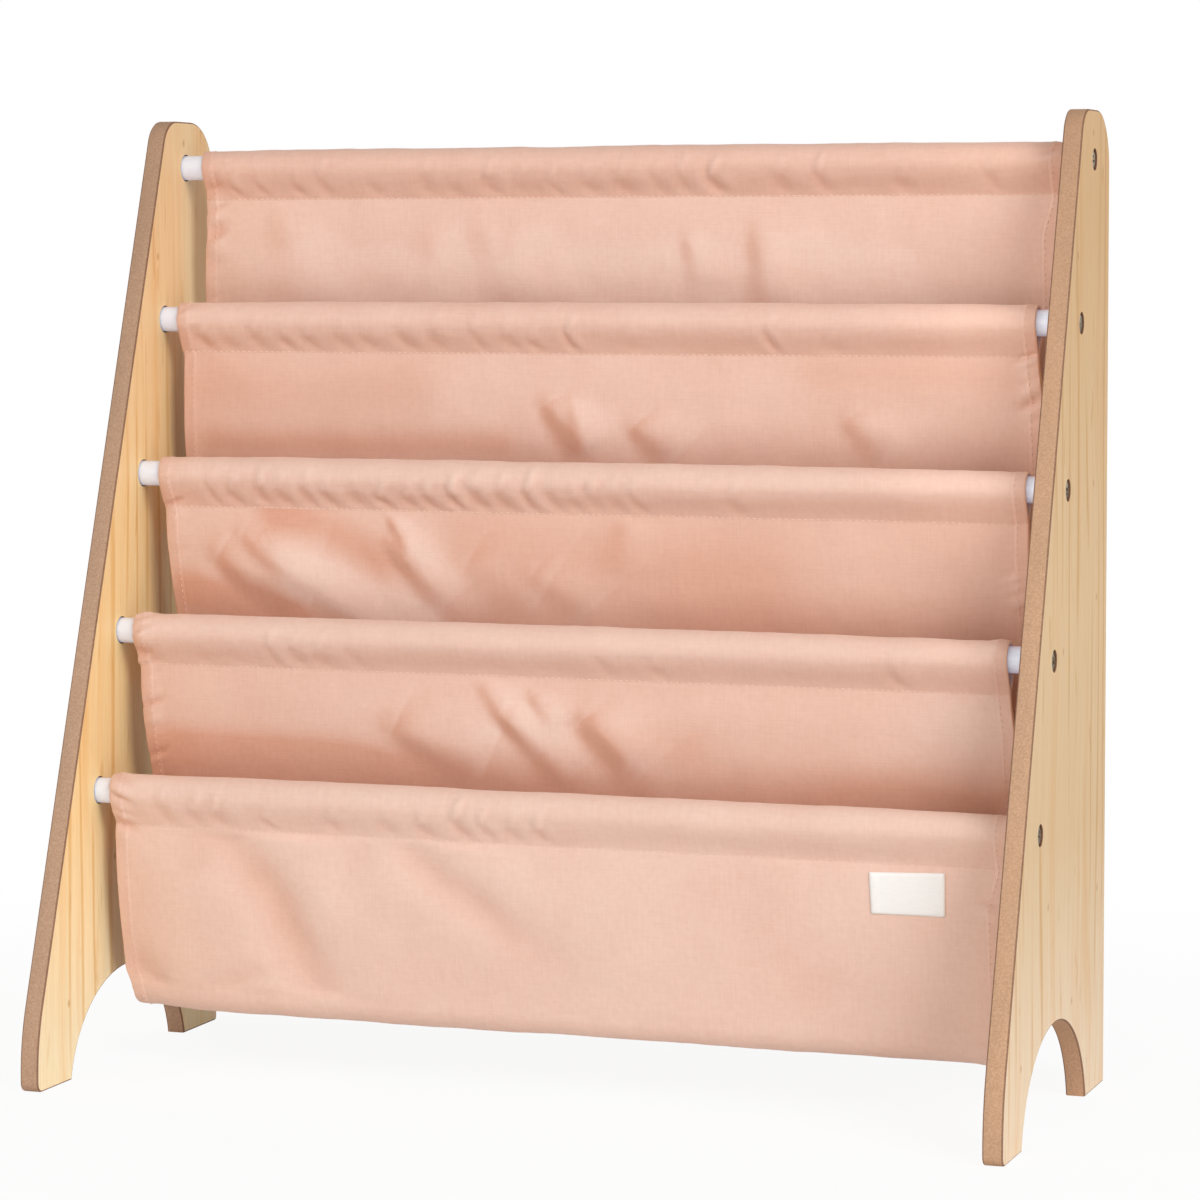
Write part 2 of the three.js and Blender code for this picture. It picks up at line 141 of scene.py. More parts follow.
class Shader:
    """A new node material with its Principled shader."""

    def __init__(self, name, rough, metal=0.0, specular=0.5):
        self.material = bpy.data.materials.new(name)
        self.material.use_nodes = True
        self.tree = self.material.node_tree
        self.main = self.tree.nodes["Principled BSDF"]
        self.set("Roughness", rough)
        self.set("Metallic", metal)
        self.set("Specular IOR Level", specular)

    def node(self, kind, settings=None, **values):
        return add_node(self.tree, kind, settings, **values)

    def coords(self, scale, offset=(0, 0, 0), source=None):
        if source is None:
            source = self.node("TexCoord").outputs["Object"]
        mapping = self.node("Mapping", Vector=source, Scale=scale, Location=offset)
        return mapping.outputs["Vector"]

    def flat(self):
        """Places on the flat cloth, in metres."""
        return self.node("UVMap", {"uv_map": "flat"}).outputs["UV"]

    def noise(self, scale, offset=(0, 0, 0), source=None, detail=3, rough=0.5, distortion=0):
        made = self.node(
            "TexNoise", Vector=self.coords(scale, offset, source), Scale=1, Detail=detail,
            Roughness=rough, Distortion=distortion,
        )
        return made.outputs["Fac"]

    def weave(self, flat, scales, distortion, **values):
        """Threads across and down the flat cloth."""
        across, down = (
            self.node(
                "TexWave", {"bands_direction": axis}, Vector=self.coords((1, 1, 1), source=flat),
                Scale=scale, Distortion=distortion, **values,
            ).outputs["Fac"]
            for axis, scale in zip("XY", scales)
        )
        return self.math("MULTIPLY", across, down)

    def ramp(self, value, low, high, to_low=0.0, to_high=1.0):
        made = self.node("MapRange", _0=value, _1=low, _2=high, _3=to_low, _4=to_high)
        return made.outputs["Result"]

    def math(self, operation, a, b):
        return self.node("Math", {"operation": operation}, _0=a, _1=b).outputs[0]

    def mix(self, fac, a, b, blend="MIX"):
        made = self.node("Mix", {"data_type": "RGBA", "blend_type": blend}, _0=fac, _6=a, _7=b)
        return made.outputs[2]

    def bump(self, height, distance, strength=1.0, after=None):
        values = {"Height": height, "Distance": distance, "Strength": strength}
        if after is not None:
            values["Normal"] = after
        return self.node("Bump", **values).outputs["Normal"]

    def set(self, name, value):
        fill_socket(self.tree, self.main.inputs[name], value)

    def finish(self, colour, normal, **values):
        """The material, with its shader's other inputs set."""
        for key, value in {"Base_Color": colour, "Normal": normal, **values}.items():
            self.set(key.replace("_", " "), value)
        return self.material


def srgb(red, green, blue):
    def linear(c):
        c /= 255
        return c / 12.92 if c <= 0.04045 else ((c + 0.055) / 1.055) ** 2.4

    return (linear(red), linear(green), linear(blue), 1.0)


def laminate_material(name, low, middle, high):
    """Straight grain, over painted light and shade: lighter near the floor and darker higher up."""
    s = Shader(name, rough=0.5, specular=0.35)
    place = s.node("TexCoord").outputs["Object"]
    parts = s.node("SeparateXYZ", Vector=place).outputs
    # Painted light and shade over the height: lighter near the floor, darker higher up.
    tone = s.mix(s.ramp(parts["Z"], 0.02, 0.17), low, middle)
    tone = s.mix(s.ramp(parts["Z"], 0.3, 0.54), tone, high)
    wander = s.noise((5, 9, 4.5), (3, 1, 4), detail=1)
    moved = s.node("CombineXYZ", Y=s.ramp(wander, 0.3, 0.7, -0.011, 0.011)).outputs[0]
    moved = s.node("VectorMath", {"operation": "ADD"}, _0=place, _1=moved).outputs[0]
    streaks = s.noise((60, 420, 5), source=moved, detail=5, rough=0.7, distortion=0.3)
    broad = s.noise((30, 55, 3), (4, 1, 7), moved, detail=3, distortion=0.4)
    waves = s.node(
        "TexWave", {"bands_direction": "Y"}, Vector=s.coords((1, 1, 0.12)), Scale=17.0,
        Distortion=7.0, Detail=2.0, Detail_Scale=0.9, Detail_Roughness=0.5,
    ).outputs["Fac"]
    patches = s.noise((24, 24, 4.5), (2, 6, 5), detail=1)
    marks = s.noise((120, 120, 22), (7, 2, 9), detail=2, distortion=0.4)
    pores = s.noise((900, 1500, 42), (9, 3, 1), detail=2)
    face = s.node("CombineXYZ", X=parts["Y"], Y=parts["Z"]).outputs[0]
    knots = s.node(
        "TexVoronoi", {"voronoi_dimensions": "2D"},
        Vector=s.coords((11, 8, 1), (0.4, 0.1, 0), face), Scale=1,
    ).outputs["Distance"]
    rings = s.math("MULTIPLY", s.ramp(waves, 0.82, 1), s.ramp(patches, 0.5, 0.6, 0, 0.6))
    grain = srgb(230, 199, 138)
    for share, tint in (
        (s.ramp(streaks, 0.35, 0.7, 0, 0.27), grain),
        (s.ramp(broad, 0.52, 0.74, 0, 0.4), srgb(244, 208, 152)),
        (s.ramp(knots, 0.008, 0.026, 0.55, 0), srgb(206, 160, 106)),
        (rings, grain),
        (s.ramp(marks, 0.64, 0.74, 0, 0.45), grain),
        (s.ramp(pores, 0.6, 0.78, 0, 0.5), grain),
    ):
        tone = s.mix(share, tone, tint, "MULTIPLY")
    return s.finish(tone, s.bump(s.math("ADD", streaks, pores), 0.00005, 0.5))


def board_core_material(name, light, dark):
    s = Shader(name, rough=0.78, specular=0.25)
    fibres = s.noise((900, 900, 900), detail=4, rough=0.75)
    flecks = s.noise((700, 700, 380), (3, 5, 2), detail=3, rough=0.6)
    cloud = s.noise((90, 40, 14), detail=3)
    level = s.node("SeparateXYZ", Vector=s.node("TexCoord").outputs["Object"]).outputs["Z"]
    colour = s.mix(s.ramp(fibres, 0.36, 0.64), light, dark)
    # Painted shade: the board's edge darker higher up, lighter near the floor.
    colour = s.mix(s.ramp(level, 0.25, 0.58), colour, (0.84, 0.82, 0.8, 1), "MULTIPLY")
    colour = s.mix(s.ramp(flecks, 0.52, 0.72, 0, 0.45), colour, dark)
    colour = s.mix(s.ramp(cloud, 0.4, 0.62, 0, 0.3), colour, (0.84, 0.87, 0.88, 1), "MULTIPLY")
    return s.finish(colour, s.bump(fibres, 0.0003, 0.6))


def rod_material():
    s = Shader("white_rod_painted_glow", rough=0.3, specular=0.6)
    cloud = s.noise((120, 60, 60), detail=3)
    # Painted light: a faint blue in the white and a faint blue glow, though the rod is no lamp, keep the
    # rods white against the warm light bounced onto them.
    s.set("Base Color", s.mix(s.ramp(cloud, 0.3, 0.7), srgb(247, 252, 255), srgb(241, 247, 255)))
    s.set("Coat Weight", 0.5)
    s.set("Coat Roughness", 0.2)
    s.set("Emission Color", (0.15, 0.4, 1.0, 1.0))
    s.set("Emission Strength", 0.14)
    s.set("Normal", s.bump(s.noise((60, 400, 400), detail=2), 0.00003, 0.4))
    return s.material


def metal_material(name, light, dark, rough):
    s = Shader(name, rough=rough, metal=1.0)
    worn = s.noise((700, 700, 700), detail=4, rough=0.65)
    worn_rough = s.ramp(worn, 0.3, 0.75, rough - 0.08, rough + 0.14)
    colour = s.mix(s.ramp(worn, 0.35, 0.7), light, dark)
    return s.finish(colour, s.bump(worn, 0.00004, 0.5), Roughness=worn_rough)


def cloth_material():
    s = Shader("sling_cloth", rough=0.62, specular=0.32)
    flat = s.flat()
    weave = s.weave(flat, (690, 690), 0.6, Detail=1, Detail_Scale=0.6)
    weft = s.noise((50, 900, 1), source=flat, detail=3, rough=0.6)
    warp = s.noise((900, 45, 1), (5, 2, 0), source=flat, detail=3, rough=0.6)
    slub = s.math("ADD", weft, warp)
    cloud = s.noise((16, 16, 1), (1, 8, 0), source=flat, detail=3, rough=0.55)
    fine = s.noise((260, 260, 1), source=flat, detail=3)
    colour = s.mix(s.ramp(cloud, 0.32, 0.7), srgb(240, 205, 187), srgb(235, 196, 177))
    colour = s.mix(s.ramp(slub, 0.75, 1.3, 0, 0.5), colour, srgb(246, 215, 199))
    colour = s.mix(s.ramp(fine, 0.4, 0.75, 0, 0.22), colour, srgb(224, 179, 158))
    colour = s.mix(s.ramp(weave, 0.0, 0.9, 0.07, 0), colour, srgb(212, 156, 133))
    # Painted shade: where this attribute is high the cloth turns darker and redder, as in its folds,
    # under its sleeves and at the walls' feet.
    painted_shade = s.node("Attribute", {"attribute_name": "painted_shade"}).outputs["Fac"]
    colour = s.mix(painted_shade, colour, (0.86, 0.655, 0.565, 1), "MULTIPLY")
    normal = s.bump(weave, 0.0001, 0.3)
    normal = s.bump(slub, 0.00025, 0.4, after=normal)
    normal = s.bump(fine, 0.0003, 0.18, after=normal)
    return s.finish(colour, normal, Sheen_Weight=0.22, Sheen_Roughness=0.45,
                    Sheen_Tint=(1.0, 0.9, 0.86, 1.0))


def thread_material(name, light, dark):
    s = Shader(name, rough=0.6, specular=0.3)
    twist = s.noise((2600, 2600, 2600), detail=2)
    colour = s.mix(s.ramp(twist, 0.35, 0.65), light, dark)
    return s.finish(colour, s.bump(twist, 0.0001, 0.6), Sheen_Weight=0.2)


def label_material():
    s = Shader("label_tape", rough=0.55, specular=0.3)
    flat = s.flat()
    weave = s.weave(flat, (1100, 820), 0.8)
    slub = s.noise((180, 900, 1), source=flat, detail=3)
    colour = s.mix(s.ramp(slub, 0.3, 0.7), srgb(255, 253, 250), srgb(251, 248, 244))
    colour = s.mix(s.ramp(weave, 0, 1, 0.12, 0), colour, srgb(232, 226, 218))
    return s.finish(colour, s.bump(weave, 0.0001, 0.5), Sheen_Weight=0.15)


# Meshes


def make_object(name, data, *materials):
    """A new object, with the materials added to its data."""
    made = bpy.data.objects.new(name, data)
    bpy.context.scene.collection.objects.link(made)
    for material in materials:
        data.materials.append(material)
    return made


def mesh_object(name, verts, faces, material):
    mesh = bpy.data.meshes.new(name)
    mesh.from_pydata([tuple(v) for v in verts], [], faces)
    mesh.polygons.foreach_set("use_smooth", [True] * len(mesh.polygons))
    mesh.update()
    return make_object(name, mesh, material)


def face_outwards(bm):
    bmesh.ops.recalc_face_normals(bm, faces=list(bm.faces))


def edit_mesh(mesh, change):
    """Changes the mesh by a function of its bmesh."""
    bm = bmesh.new()
    bm.from_mesh(mesh)
    change(bm)
    bm.to_mesh(mesh)
    bm.free()


def move_to(x, y, z):
    """The matrix that moves the origin to a place in millimetres."""
    return Matrix.Translation((x * MM, y * MM, z * MM))


def unit(vectors):
    return vectors / np.linalg.norm(vectors, axis=-1, keepdims=True)


def direction(angle):
    return np.array([math.cos(angle), math.sin(angle)])


def outline():
    """The board's outline in (y, z), going round it with the board on the left."""

    def rounded(before, corner, after, radius):
        corner = np.array(corner, float)
        back, ahead = unit(before - corner), unit(after - corner)
        half = math.acos(float(np.clip(back @ ahead, -1, 1))) / 2
        centre = corner + unit(back + ahead) * radius / math.sin(half)
        start = corner + back * radius / math.tan(half) - centre
        sweep = math.pi - 2 * half
        first = math.atan2(start[1], start[0])
        steps = max(6, int(radius * sweep / OUTLINE_STEP))
        return [centre + radius * direction(first + sweep * k / steps) for k in range(steps + 1)]

    heel, top_rear = (REAR, 0), (REAR, OVERALL_HEIGHT)
    top_front = (FRONT + (OVERALL_HEIGHT - KNEE_HEIGHT) * math.tan(LEAN), OVERALL_HEIGHT)
    knee, toe = (FRONT, KNEE_HEIGHT), (FRONT, 0)
    arch_front, arch_rear = (FRONT + FRONT_FOOT_LENGTH, 0), (REAR - REAR_FOOT_LENGTH, 0)
    spring = math.asin(ARCH_CENTRE_DROP / (ARCH_HEIGHT + ARCH_CENTRE_DROP))
    half = (arch_rear[0] - arch_front[0]) / 2
    middle = (arch_front[0] + arch_rear[0]) / 2
    arch = [
        np.array([middle + half / math.cos(spring) * math.cos(a),
                  (ARCH_HEIGHT + ARCH_CENTRE_DROP) * math.sin(a) - ARCH_CENTRE_DROP])
        for a in np.linspace(math.pi - spring, spring, 90)
    ]
    return np.array([
        *rounded(arch_rear, heel, top_rear, HEEL_CORNER_RADIUS),
        *rounded(heel, top_rear, top_front, REAR_CORNER_RADIUS),
        *rounded(top_rear, top_front, knee, FRONT_CORNER_RADIUS),
        *rounded(top_front, knee, toe, KNEE_RADIUS),
        *rounded(knee, toe, arch_front, TOE_CORNER_RADIUS),
        *arch,
    ])


def inset(points, distance):
    """The closed outline moved inwards, with its corners mitred."""
    before = unit(points - np.roll(points, 1, 0))
    after = unit(np.roll(points, -1, 0) - points)
    inward = unit(np.c_[-before[:, 1], before[:, 0]] + np.c_[-after[:, 1], after[:, 0]])
    cosine = np.abs(inward[:, 0] * -after[:, 1] + inward[:, 1] * after[:, 0])
    return points + inward * (distance / np.maximum(cosine, 0.35))[:, None]


def lathe(profile, sides, place=None, side=1):
    """A closed solid turned round its own X axis, from [x, radius] pairs that end on the axis."""
    bm = bmesh.new()
    rings = []
    for x, radius in profile:
        turns = np.linspace(0, 2 * math.pi, sides if radius else 1, endpoint=False)
        rings.append([bm.verts.new((side * x * MM, *(radius * MM * direction(a)))) for a in turns])
    for first, second in zip(rings, rings[1:]):
        for k in range(sides):
            m = (k + 1) % sides
            corners = [first[k % len(first)], first[m % len(first)],
                       second[m % len(second)], second[k % len(second)]]
            face = list(dict.fromkeys(corners))
            if len(face) > 2:
                bm.faces.new(face)
    face_outwards(bm)
    if place is not None:
        bmesh.ops.transform(bm, matrix=place, verts=bm.verts[:])
    return bm


def soften(bm, degrees=28):
    """Smooth shading, with edges over that angle kept sharp."""
    for face in bm.faces:
        face.smooth = True
    for edge in bm.edges:
        edge.smooth = len(edge.link_faces) == 2 and edge.calc_face_angle(0) < math.radians(degrees)


def bm_object(name, bm, *materials):
    mesh = bpy.data.meshes.new(name)
    bm.to_mesh(mesh)
    bm.free()
    return make_object(name, mesh, *materials)


def cut(piece, cutter):
    """Takes the cutter's volume out of the piece."""
    modifier = piece.modifiers.new("cut", "BOOLEAN")
    modifier.operation = "DIFFERENCE"
    modifier.solver = "EXACT"
    modifier.object = cutter
    graph = bpy.context.evaluated_depsgraph_get()
    mesh = bpy.data.meshes.new_from_object(piece.evaluated_get(graph))
    piece.modifiers.clear()
    piece.data = mesh
    bpy.data.objects.remove(cutter)


def board(name, side, materials):
    """A board with eased edges, a socket for each rod and a counterbore for each bolt."""
    points = outline()
    turns = [math.pi / 2 * k / 3 for k in range(4)]
    rings = [(INNER + PANEL_EASE * (1 - math.cos(a)), PANEL_EASE * (1 - math.sin(a))) for a in turns]
    rings += [(OUTER - (x - INNER), step) for x, step in reversed(rings)]
    bm = bmesh.new()
    loops = [
        [bm.verts.new((side * x * MM, y * MM, z * MM)) for y, z in inset(points, step)]
        for x, step in rings
    ]
    for first, second in zip(loops, loops[1:]):
        for k in range(len(points)):
            m = (k + 1) % len(points)
            bm.faces.new((first[k], first[m], second[m], second[k]))
    bm.faces.new(loops[0])
    bm.faces.new(loops[-1])
    face_outwards(bm)
    piece = bm_object(name, bm)
    lip, past = 0.3, 2
    profile = [
        (OUTER + past, 0), (OUTER + past, COUNTERBORE_RADIUS + lip), (OUTER, COUNTERBORE_RADIUS + lip),
        (OUTER - lip, COUNTERBORE_RADIUS), (OUTER - COUNTERBORE_DEPTH, COUNTERBORE_RADIUS),
        (OUTER - COUNTERBORE_DEPTH, BOLT_RADIUS + SEAT_GAP),
        (INNER + SOCKET_DEPTH, BOLT_RADIUS + SEAT_GAP),
        (INNER + SOCKET_DEPTH, SOCKET_RADIUS), (INNER + lip, SOCKET_RADIUS),
        (INNER, SOCKET_RADIUS + lip), (INNER - past, SOCKET_RADIUS + lip), (INNER - past, 0),
    ]
    for y, z in RODS:
        cut(piece, bm_object("cutter", lathe(profile, 48, move_to(0, y, z), side)))
    piece.data.materials.clear()
    for material in materials:
        piece.data.materials.append(material)

    def paint(bm):
        soften(bm, 50)
        for face in bm.faces:
            x, *middle = face.calc_center_median() / MM
            depth = min(abs(abs(x) - INNER), abs(abs(x) - OUTER))
            if abs(face.normal.x) > 0.999 and depth < 0.05:
                face.material_index = LAMINATE
                for edge in face.edges:
                    edge.smooth = False
            elif depth > 0.25 and any(math.dist(middle, rod) < SOCKET_RADIUS + 0.2 for rod in RODS):
                # Sockets' and counterbores' walls take the darker bore brown: painted shade in the
                # recesses.
                face.material_index = SHADED_BORE
            else:
                face.material_index = EDGE_LINE if depth < PANEL_EASE else CORE

    edit_mesh(piece.data, paint)
    return piece


def rod(name, y, z, material):
    half = INNER + SOCKET_DEPTH - SEAT_GAP
    bore = INSERT_RADIUS + SEAT_GAP
    floor = half - ROD_BORE_DEPTH
    ease = [(half - ROD_CHAMFER * (1 - math.sin(a)), ROD_RADIUS - ROD_CHAMFER * (1 - math.cos(a)))
            for a in np.linspace(0, math.pi / 2, 4)]
    right = [(floor, 0), (floor, bore), (half, bore), *reversed(ease)]
    profile = [*right, *[(-x, r) for x, r in reversed(right)]]
    bm = lathe(profile, 64, move_to(0, y, z))
    soften(bm)
    return bm_object(name, bm, material)


def bolt_mesh(name, side):
    """A low domed head with a cross recess, its underside at x 0, pointing out of its side."""
    rim = BOLT_HEAD_HEIGHT - BOLT_HEAD_DOME
    dome = [
        (rim + BOLT_HEAD_DOME * math.cos(a), BOLT_HEAD_RADIUS * math.sin(a))
        for a in np.linspace(0, math.pi / 2, 9)
    ]
    profile = [(-BOLT_LENGTH, 0), (-BOLT_LENGTH, BOLT_RADIUS - 0.8), (0.8 - BOLT_LENGTH, BOLT_RADIUS),
               (-0.3, BOLT_RADIUS), (0, BOLT_RADIUS + 0.3), (0, BOLT_HEAD_RADIUS - 0.3),
               (0.3, BOLT_HEAD_RADIUS), *reversed(dome)]
    piece = bm_object(name, lathe(profile, 48, side=side))
    for cos, sin in (direction(0), direction(math.pi / 2)):
        blade = bmesh.new()
        for b in (-BLADE_HALF, BLADE_HALF):
            for above_top, reach in BLADE_REACH:
                x = side * (BOLT_HEAD_HEIGHT + above_top) * MM
                for a in (-reach, reach):
                    blade.verts.new((x, (a * cos - b * sin) * MM, (a * sin + b * cos) * MM))
        bmesh.ops.convex_hull(blade, input=list(blade.verts))
        face_outwards(blade)
        cut(piece, bm_object("blade", blade))
    edit_mesh(piece.data, soften)
    mesh = piece.data
    bpy.data.objects.remove(piece)
    return mesh


# Sling: one ribbon of cloth from the rear seam of the top rod, over each rod and down into
# each pocket, to the rear seam of the lowest rod


def smooth(value, low, high):
    share = np.clip((value - low) / (high - low), 0, 1)
    return share * share * (3 - 2 * share)


def soft_noise(u, v, seed):
    """Smooth noise between about -1 and 1, with one bump per unit of u and of v."""
    table = np.random.default_rng(seed).uniform(-1, 1, (64, 64))
    u0, v0 = np.floor(u).astype(int), np.floor(v).astype(int)
    fu, fv = smooth(u - u0, 0, 1), smooth(v - v0, 0, 1)
    at = lambda a, b: table[(u0 + a) % 64, (v0 + b) % 64]
    near = at(0, 0) * (1 - fu) + at(1, 0) * fu
    far = at(0, 1) * (1 - fu) + at(1, 1) * fu
    return near * (1 - fv) + far * fv


def curve(points, steps=6):
    """A smooth line through the points."""
    points = np.array(points, float)
    ends = np.r_[[2 * points[0] - points[1]], points, [2 * points[-1] - points[-2]]]
    out = []
    for a, b, c, d in zip(ends, ends[1:], ends[2:], ends[3:]):
        for t in np.linspace(0, 1, steps, endpoint=False):
            out.append(0.5 * (2 * b + (c - a) * t + (2 * a - 5 * b + 4 * c - d) * t**2
                              + (3 * b - a - 3 * c + d) * t**3))
    return np.array([*out, points[-1]])


def strokes(x, drop, folds, spread=1.0, kind="crease"):
    """Relief of folds drawn as lines: width, height (a valley below 0), then the line's points.
    A ridged fold has its crest to the right of its line, with a steep left and an easy right side."""
    relief = np.zeros((len(drop), len(x)))
    across, down = np.meshgrid(x, drop)
    for width, height, *points in folds:
        line = curve(points)
        nearest = np.full(relief.shape, np.inf)
        beside, past, share = np.zeros((3, *relief.shape))
        for k, (a, b) in enumerate(zip(line, line[1:])):
            to = b - a
            size = max(np.hypot(*to), 1e-6)
            along = np.clip(((across - a[0]) * to[0] + (down - a[1]) * to[1]) / size**2, 0, 1)
            off_x, off_d = across - a[0] - along * to[0], down - a[1] - along * to[1]
            away = np.hypot(off_x, off_d)
            near = away < nearest
            nearest = np.where(near, away, nearest)
            level = (to[1] * off_x - to[0] * off_d) / size
            beside = np.where(near, level, beside)
            past = np.where(near, np.sqrt(np.maximum(away**2 - level**2, 0)), past)
            share = np.where(near, (k + along) / (len(line) - 1), share)
        width = width * spread * (0.6 + 0.75 * share if kind == "ridged" else 1)
        taper = (1 - 0.7 * np.abs(2 * share - 1) ** 3) * np.exp(-((past / (1.5 * width)) ** 2))
        if kind == "plain":
            relief += height * np.exp(-((nearest / width) ** 2))
            continue
        beside /= width
        shape = np.exp(-(beside**2))
        if kind == "ridged" and height < 0:
            easy = np.where(beside < 1.9, 1.5, 2.4)
            shape = 0.15 * shape - np.exp(-(((beside - 1.9) / easy) ** 2))
        elif kind == "ridged":
            shape = np.exp(-((beside / np.where(beside < 0, 1, 1.7)) ** 2))
        else:
            shape -= 0.42 * np.exp(-(((beside - 2) / 1.4) ** 2))
            shape -= 0.25 * np.exp(-(((beside + 2) / 1.4) ** 2))
        relief += height * taper * shape
    return relief


# Folds of the walls that show: width, height and a line of points, each an x and a drop
# below the wall's seam
WALL_FOLDS = (
    (
        (10, -0.8, (-239, 11), (-240, 70)), (11, 0.6, (-120, 18), (-117, 70)),
        (9, -0.9, (-99, 18), (-95, 70)), (11, 0.6, (-62, 15), (-58, 70)),
        (5, -0.8, (44, 27), (47, 58)), (6, -0.9, (88, 21), (86, 72)), (15, 0.7, (110, 21), (118, 76)),
    ),
    (
        (6, -1.8, (-38, 35), (-29, 51), (-18, 70)), (6, 0.8, (-13, 32), (-3, 64)),
        (6, -1.4, (20, 50), (29, 60), (42, 74)), (6, -1.0, (157, 42), (165, 55), (176, 72)),
    ),
    (
        (8, -2.8, (-252, 38), (-234, 52), (-214, 62), (-185, 72)),
        (8, 1.9, (-226, 16), (-187, 40), (-134, 72)), (4, 0.8, (-125, 3), (-116, 15), (-107, 27)),
        (5, -1.5, (-130, 25), (-116, 43), (-98, 66)), (9, -1.2, (-79, 42), (-59, 55), (-38, 70)),
        (7, -1.0, (-35, 44), (-20, 57), (-7, 72)), (9, 0.6, (33, 1), (32, 38)),
    ),
    (
        (8, -2.2, (-114, 43), (-89, 57), (-58, 73)), (6, 1.0, (-50, 5), (-33, 24), (-14, 48)),
        (5, -1.4, (-42, 28), (-26, 44), (-6, 70)), (3.5, -0.8, (-21, 13), (-16, 22), (-9, 34)),
        (7, -1.6, (9, 32), (22, 47), (40, 68)), (6, 0.9, (18, 23), (32, 35), (48, 50)),
    ),
)
LOWEST_FOLDS = (
    (8, -3.4, (-216, 3), (-198, 19), (-182, 36), (-174, 49), (-169, 62), (-160, 81), (-143, 112)),
    (6, -2.1, (-96, 0), (-79, 15), (-65, 27), (-50, 35), (-37, 44), (-8, 64)),
    (6.5, -1.0, (-114, 2), (-124, 17), (-137, 34)), (8, -1.0, (-236, 8), (-233, 36)),
    (5, -1.3, (-282, 82), (-269, 97), (-256, 116)), (4, -1.2, (-228, 108), (-207, 98), (-186, 89)),
    (16, 0.8, (40, 30), (60, 95)), (18, -0.7, (150, 50), (170, 100)),
)
# Painted shade on the same walls: width, strength and a line of points. A strength below 0 paints light.
WALL_SHADES = (
    ((16, -0.3, (-265, 45), (-36, 45), (187, 47)),),
    (
        (22, 0.35, (-261, 19), (-201, 26), (-132, 21)), (8.5, 0.4, (-261, 58), (-181, 59), (-64, 57)),
        (14.5, 0.3, (146, 10), (196, 10), (264, 11)),
    ),
    (
        (10, 0.95, (-271, 52), (-233, 61), (-195, 68)), (14.5, 0.8, (-204, 3), (-166, 15), (-132, 32)),
        (13, -1, (-187, 47), (-153, 58), (-106, 69)), (26, 0.42, (-71, 18), (14, 28), (117, 35)),
    ),
    (
        (11, 0.85, (-270, 50), (-208, 52), (-146, 54), (-106, 64)),
        (13, 0.4, (19, 35), (52, 36), (83, 39)), (20, -0.25, (233, 14), (275, 17)),
    ),
)

# Puckers of the sleeves: x where each meets the seam, and its strength
PUCKERS = (
    (
        (-276, 0.9), (-268, 1.2), (-259, 1.3), (-239, 0.9), (-212, 1), (-193, 0.9), (-158, 0.7),
        (-122, 1), (-103, 1), (-78, 0.9), (-58, 0.7), (-46, 0.8), (-35, 0.7), (-11, 0.9),
        (13, 0.8), (34, 0.9), (50, 0.8), (72, 1.4), (115, 0.8), (141, 0.8), (192, 0.7), (245, 0.7),
    ),
    (
        (-264, 1.4), (-247, 0.9), (-227, 0.9), (-205, 1), (-189, 0.8), (-166, 0.8), (-148, 0.9),
        (-122, 0.9), (-103, 0.8), (-74, 0.9), (-51, 0.8), (-36, 0.9), (-13, 1.5), (29, 0.8),
        (118, 1.5), (157, 0.8),
    ),
    (
        (-245, 0.9), (-228, 1.1), (-208, 1.2), (-193, 1.1), (-177, 1.1), (-162, 1.1), (-143, 1),
        (-124, 1.1), (-107, 1.1), (-93, 1.2), (-76, 1.4), (-60, 1.2), (-46, 1.2), (-28, 1.1),
        (-11, 1.2), (2, 1), (15, 1.1), (29, 1), (43, 0.8), (105, 0.5),
    ),
    (
        (-277, 1), (-270, 0.8), (-235, 0.4), (-210, 0.4), (-187, 0.8), (-170, 0.9), (-153, 0.8),
        (-130, 0.4), (34, 0.5), (69, 0.5), (218, 0.7),
    ),
    (
        (-245, 0.8), (-226, 0.9), (-208, 1), (-176, 0.9), (-132, 0.8), (-96, 0.6), (-70, 0.8),
        (-46, 1), (-30, 1), (-14, 0.9), (4, 0.8),
    ),
)
# Painted shade on the cloth: its level on bare cloth, on the lowest front wall, on each sleeve's
# upper and lower part, and on each wall at its foot and all over. Below 0 it paints light.
BARE_SHADE = 0.2
FRONT_SHADE = 0.04
SLEEVE_SHADE = ((0.42, 0.55), (0.24, 0.52), (0.12, 0.48), (0.1, 0.32), (0.03, 0.08))
WALL_FOOT_SHADE = (-0.15, 0.26, 0.38, 0.8)
WALL_BASE_SHADE = (0.2, 0.27, 0.28, 0.3)
# How far the right and left end of each sleeve are drawn to the right, and the left edge of
# each wall that shows, at its seam and at its foot. It starts that far from the middle.
DRAWN_FROM = 190
SLEEVE_END = (6, -2.4, 0, -2.5, 6)
SLEEVE_START = (4, 1.3, 3.4, 0.7, 0)
WALL_START = ((3.9, 1.6), (2.4, 0.8), (4.6, 5.8), (2, 3.4))
# How far the lower left corner of each wall that shows has drifted to the right
WALL_DRIFT = (-1, 0.5, 5, 5)

LAYER = CLOTH / 2 + 0.1
# Drops of the two loose ends below their seams
FLAP_ROWS = (1.5, 3.5, 7)

# Parts of the ribbon, and the columns of its rows after y and z
SLEEVE, BACK, TURN, FRONT_WALL = range(4)
SIDE, REGION, INDEX, DROP, PLY = range(2, 7)


def travelled(points):
    """The way along a line of points up to each of them."""
    return np.r_[0, np.cumsum(np.linalg.norm(np.diff(points, axis=0), axis=1))]


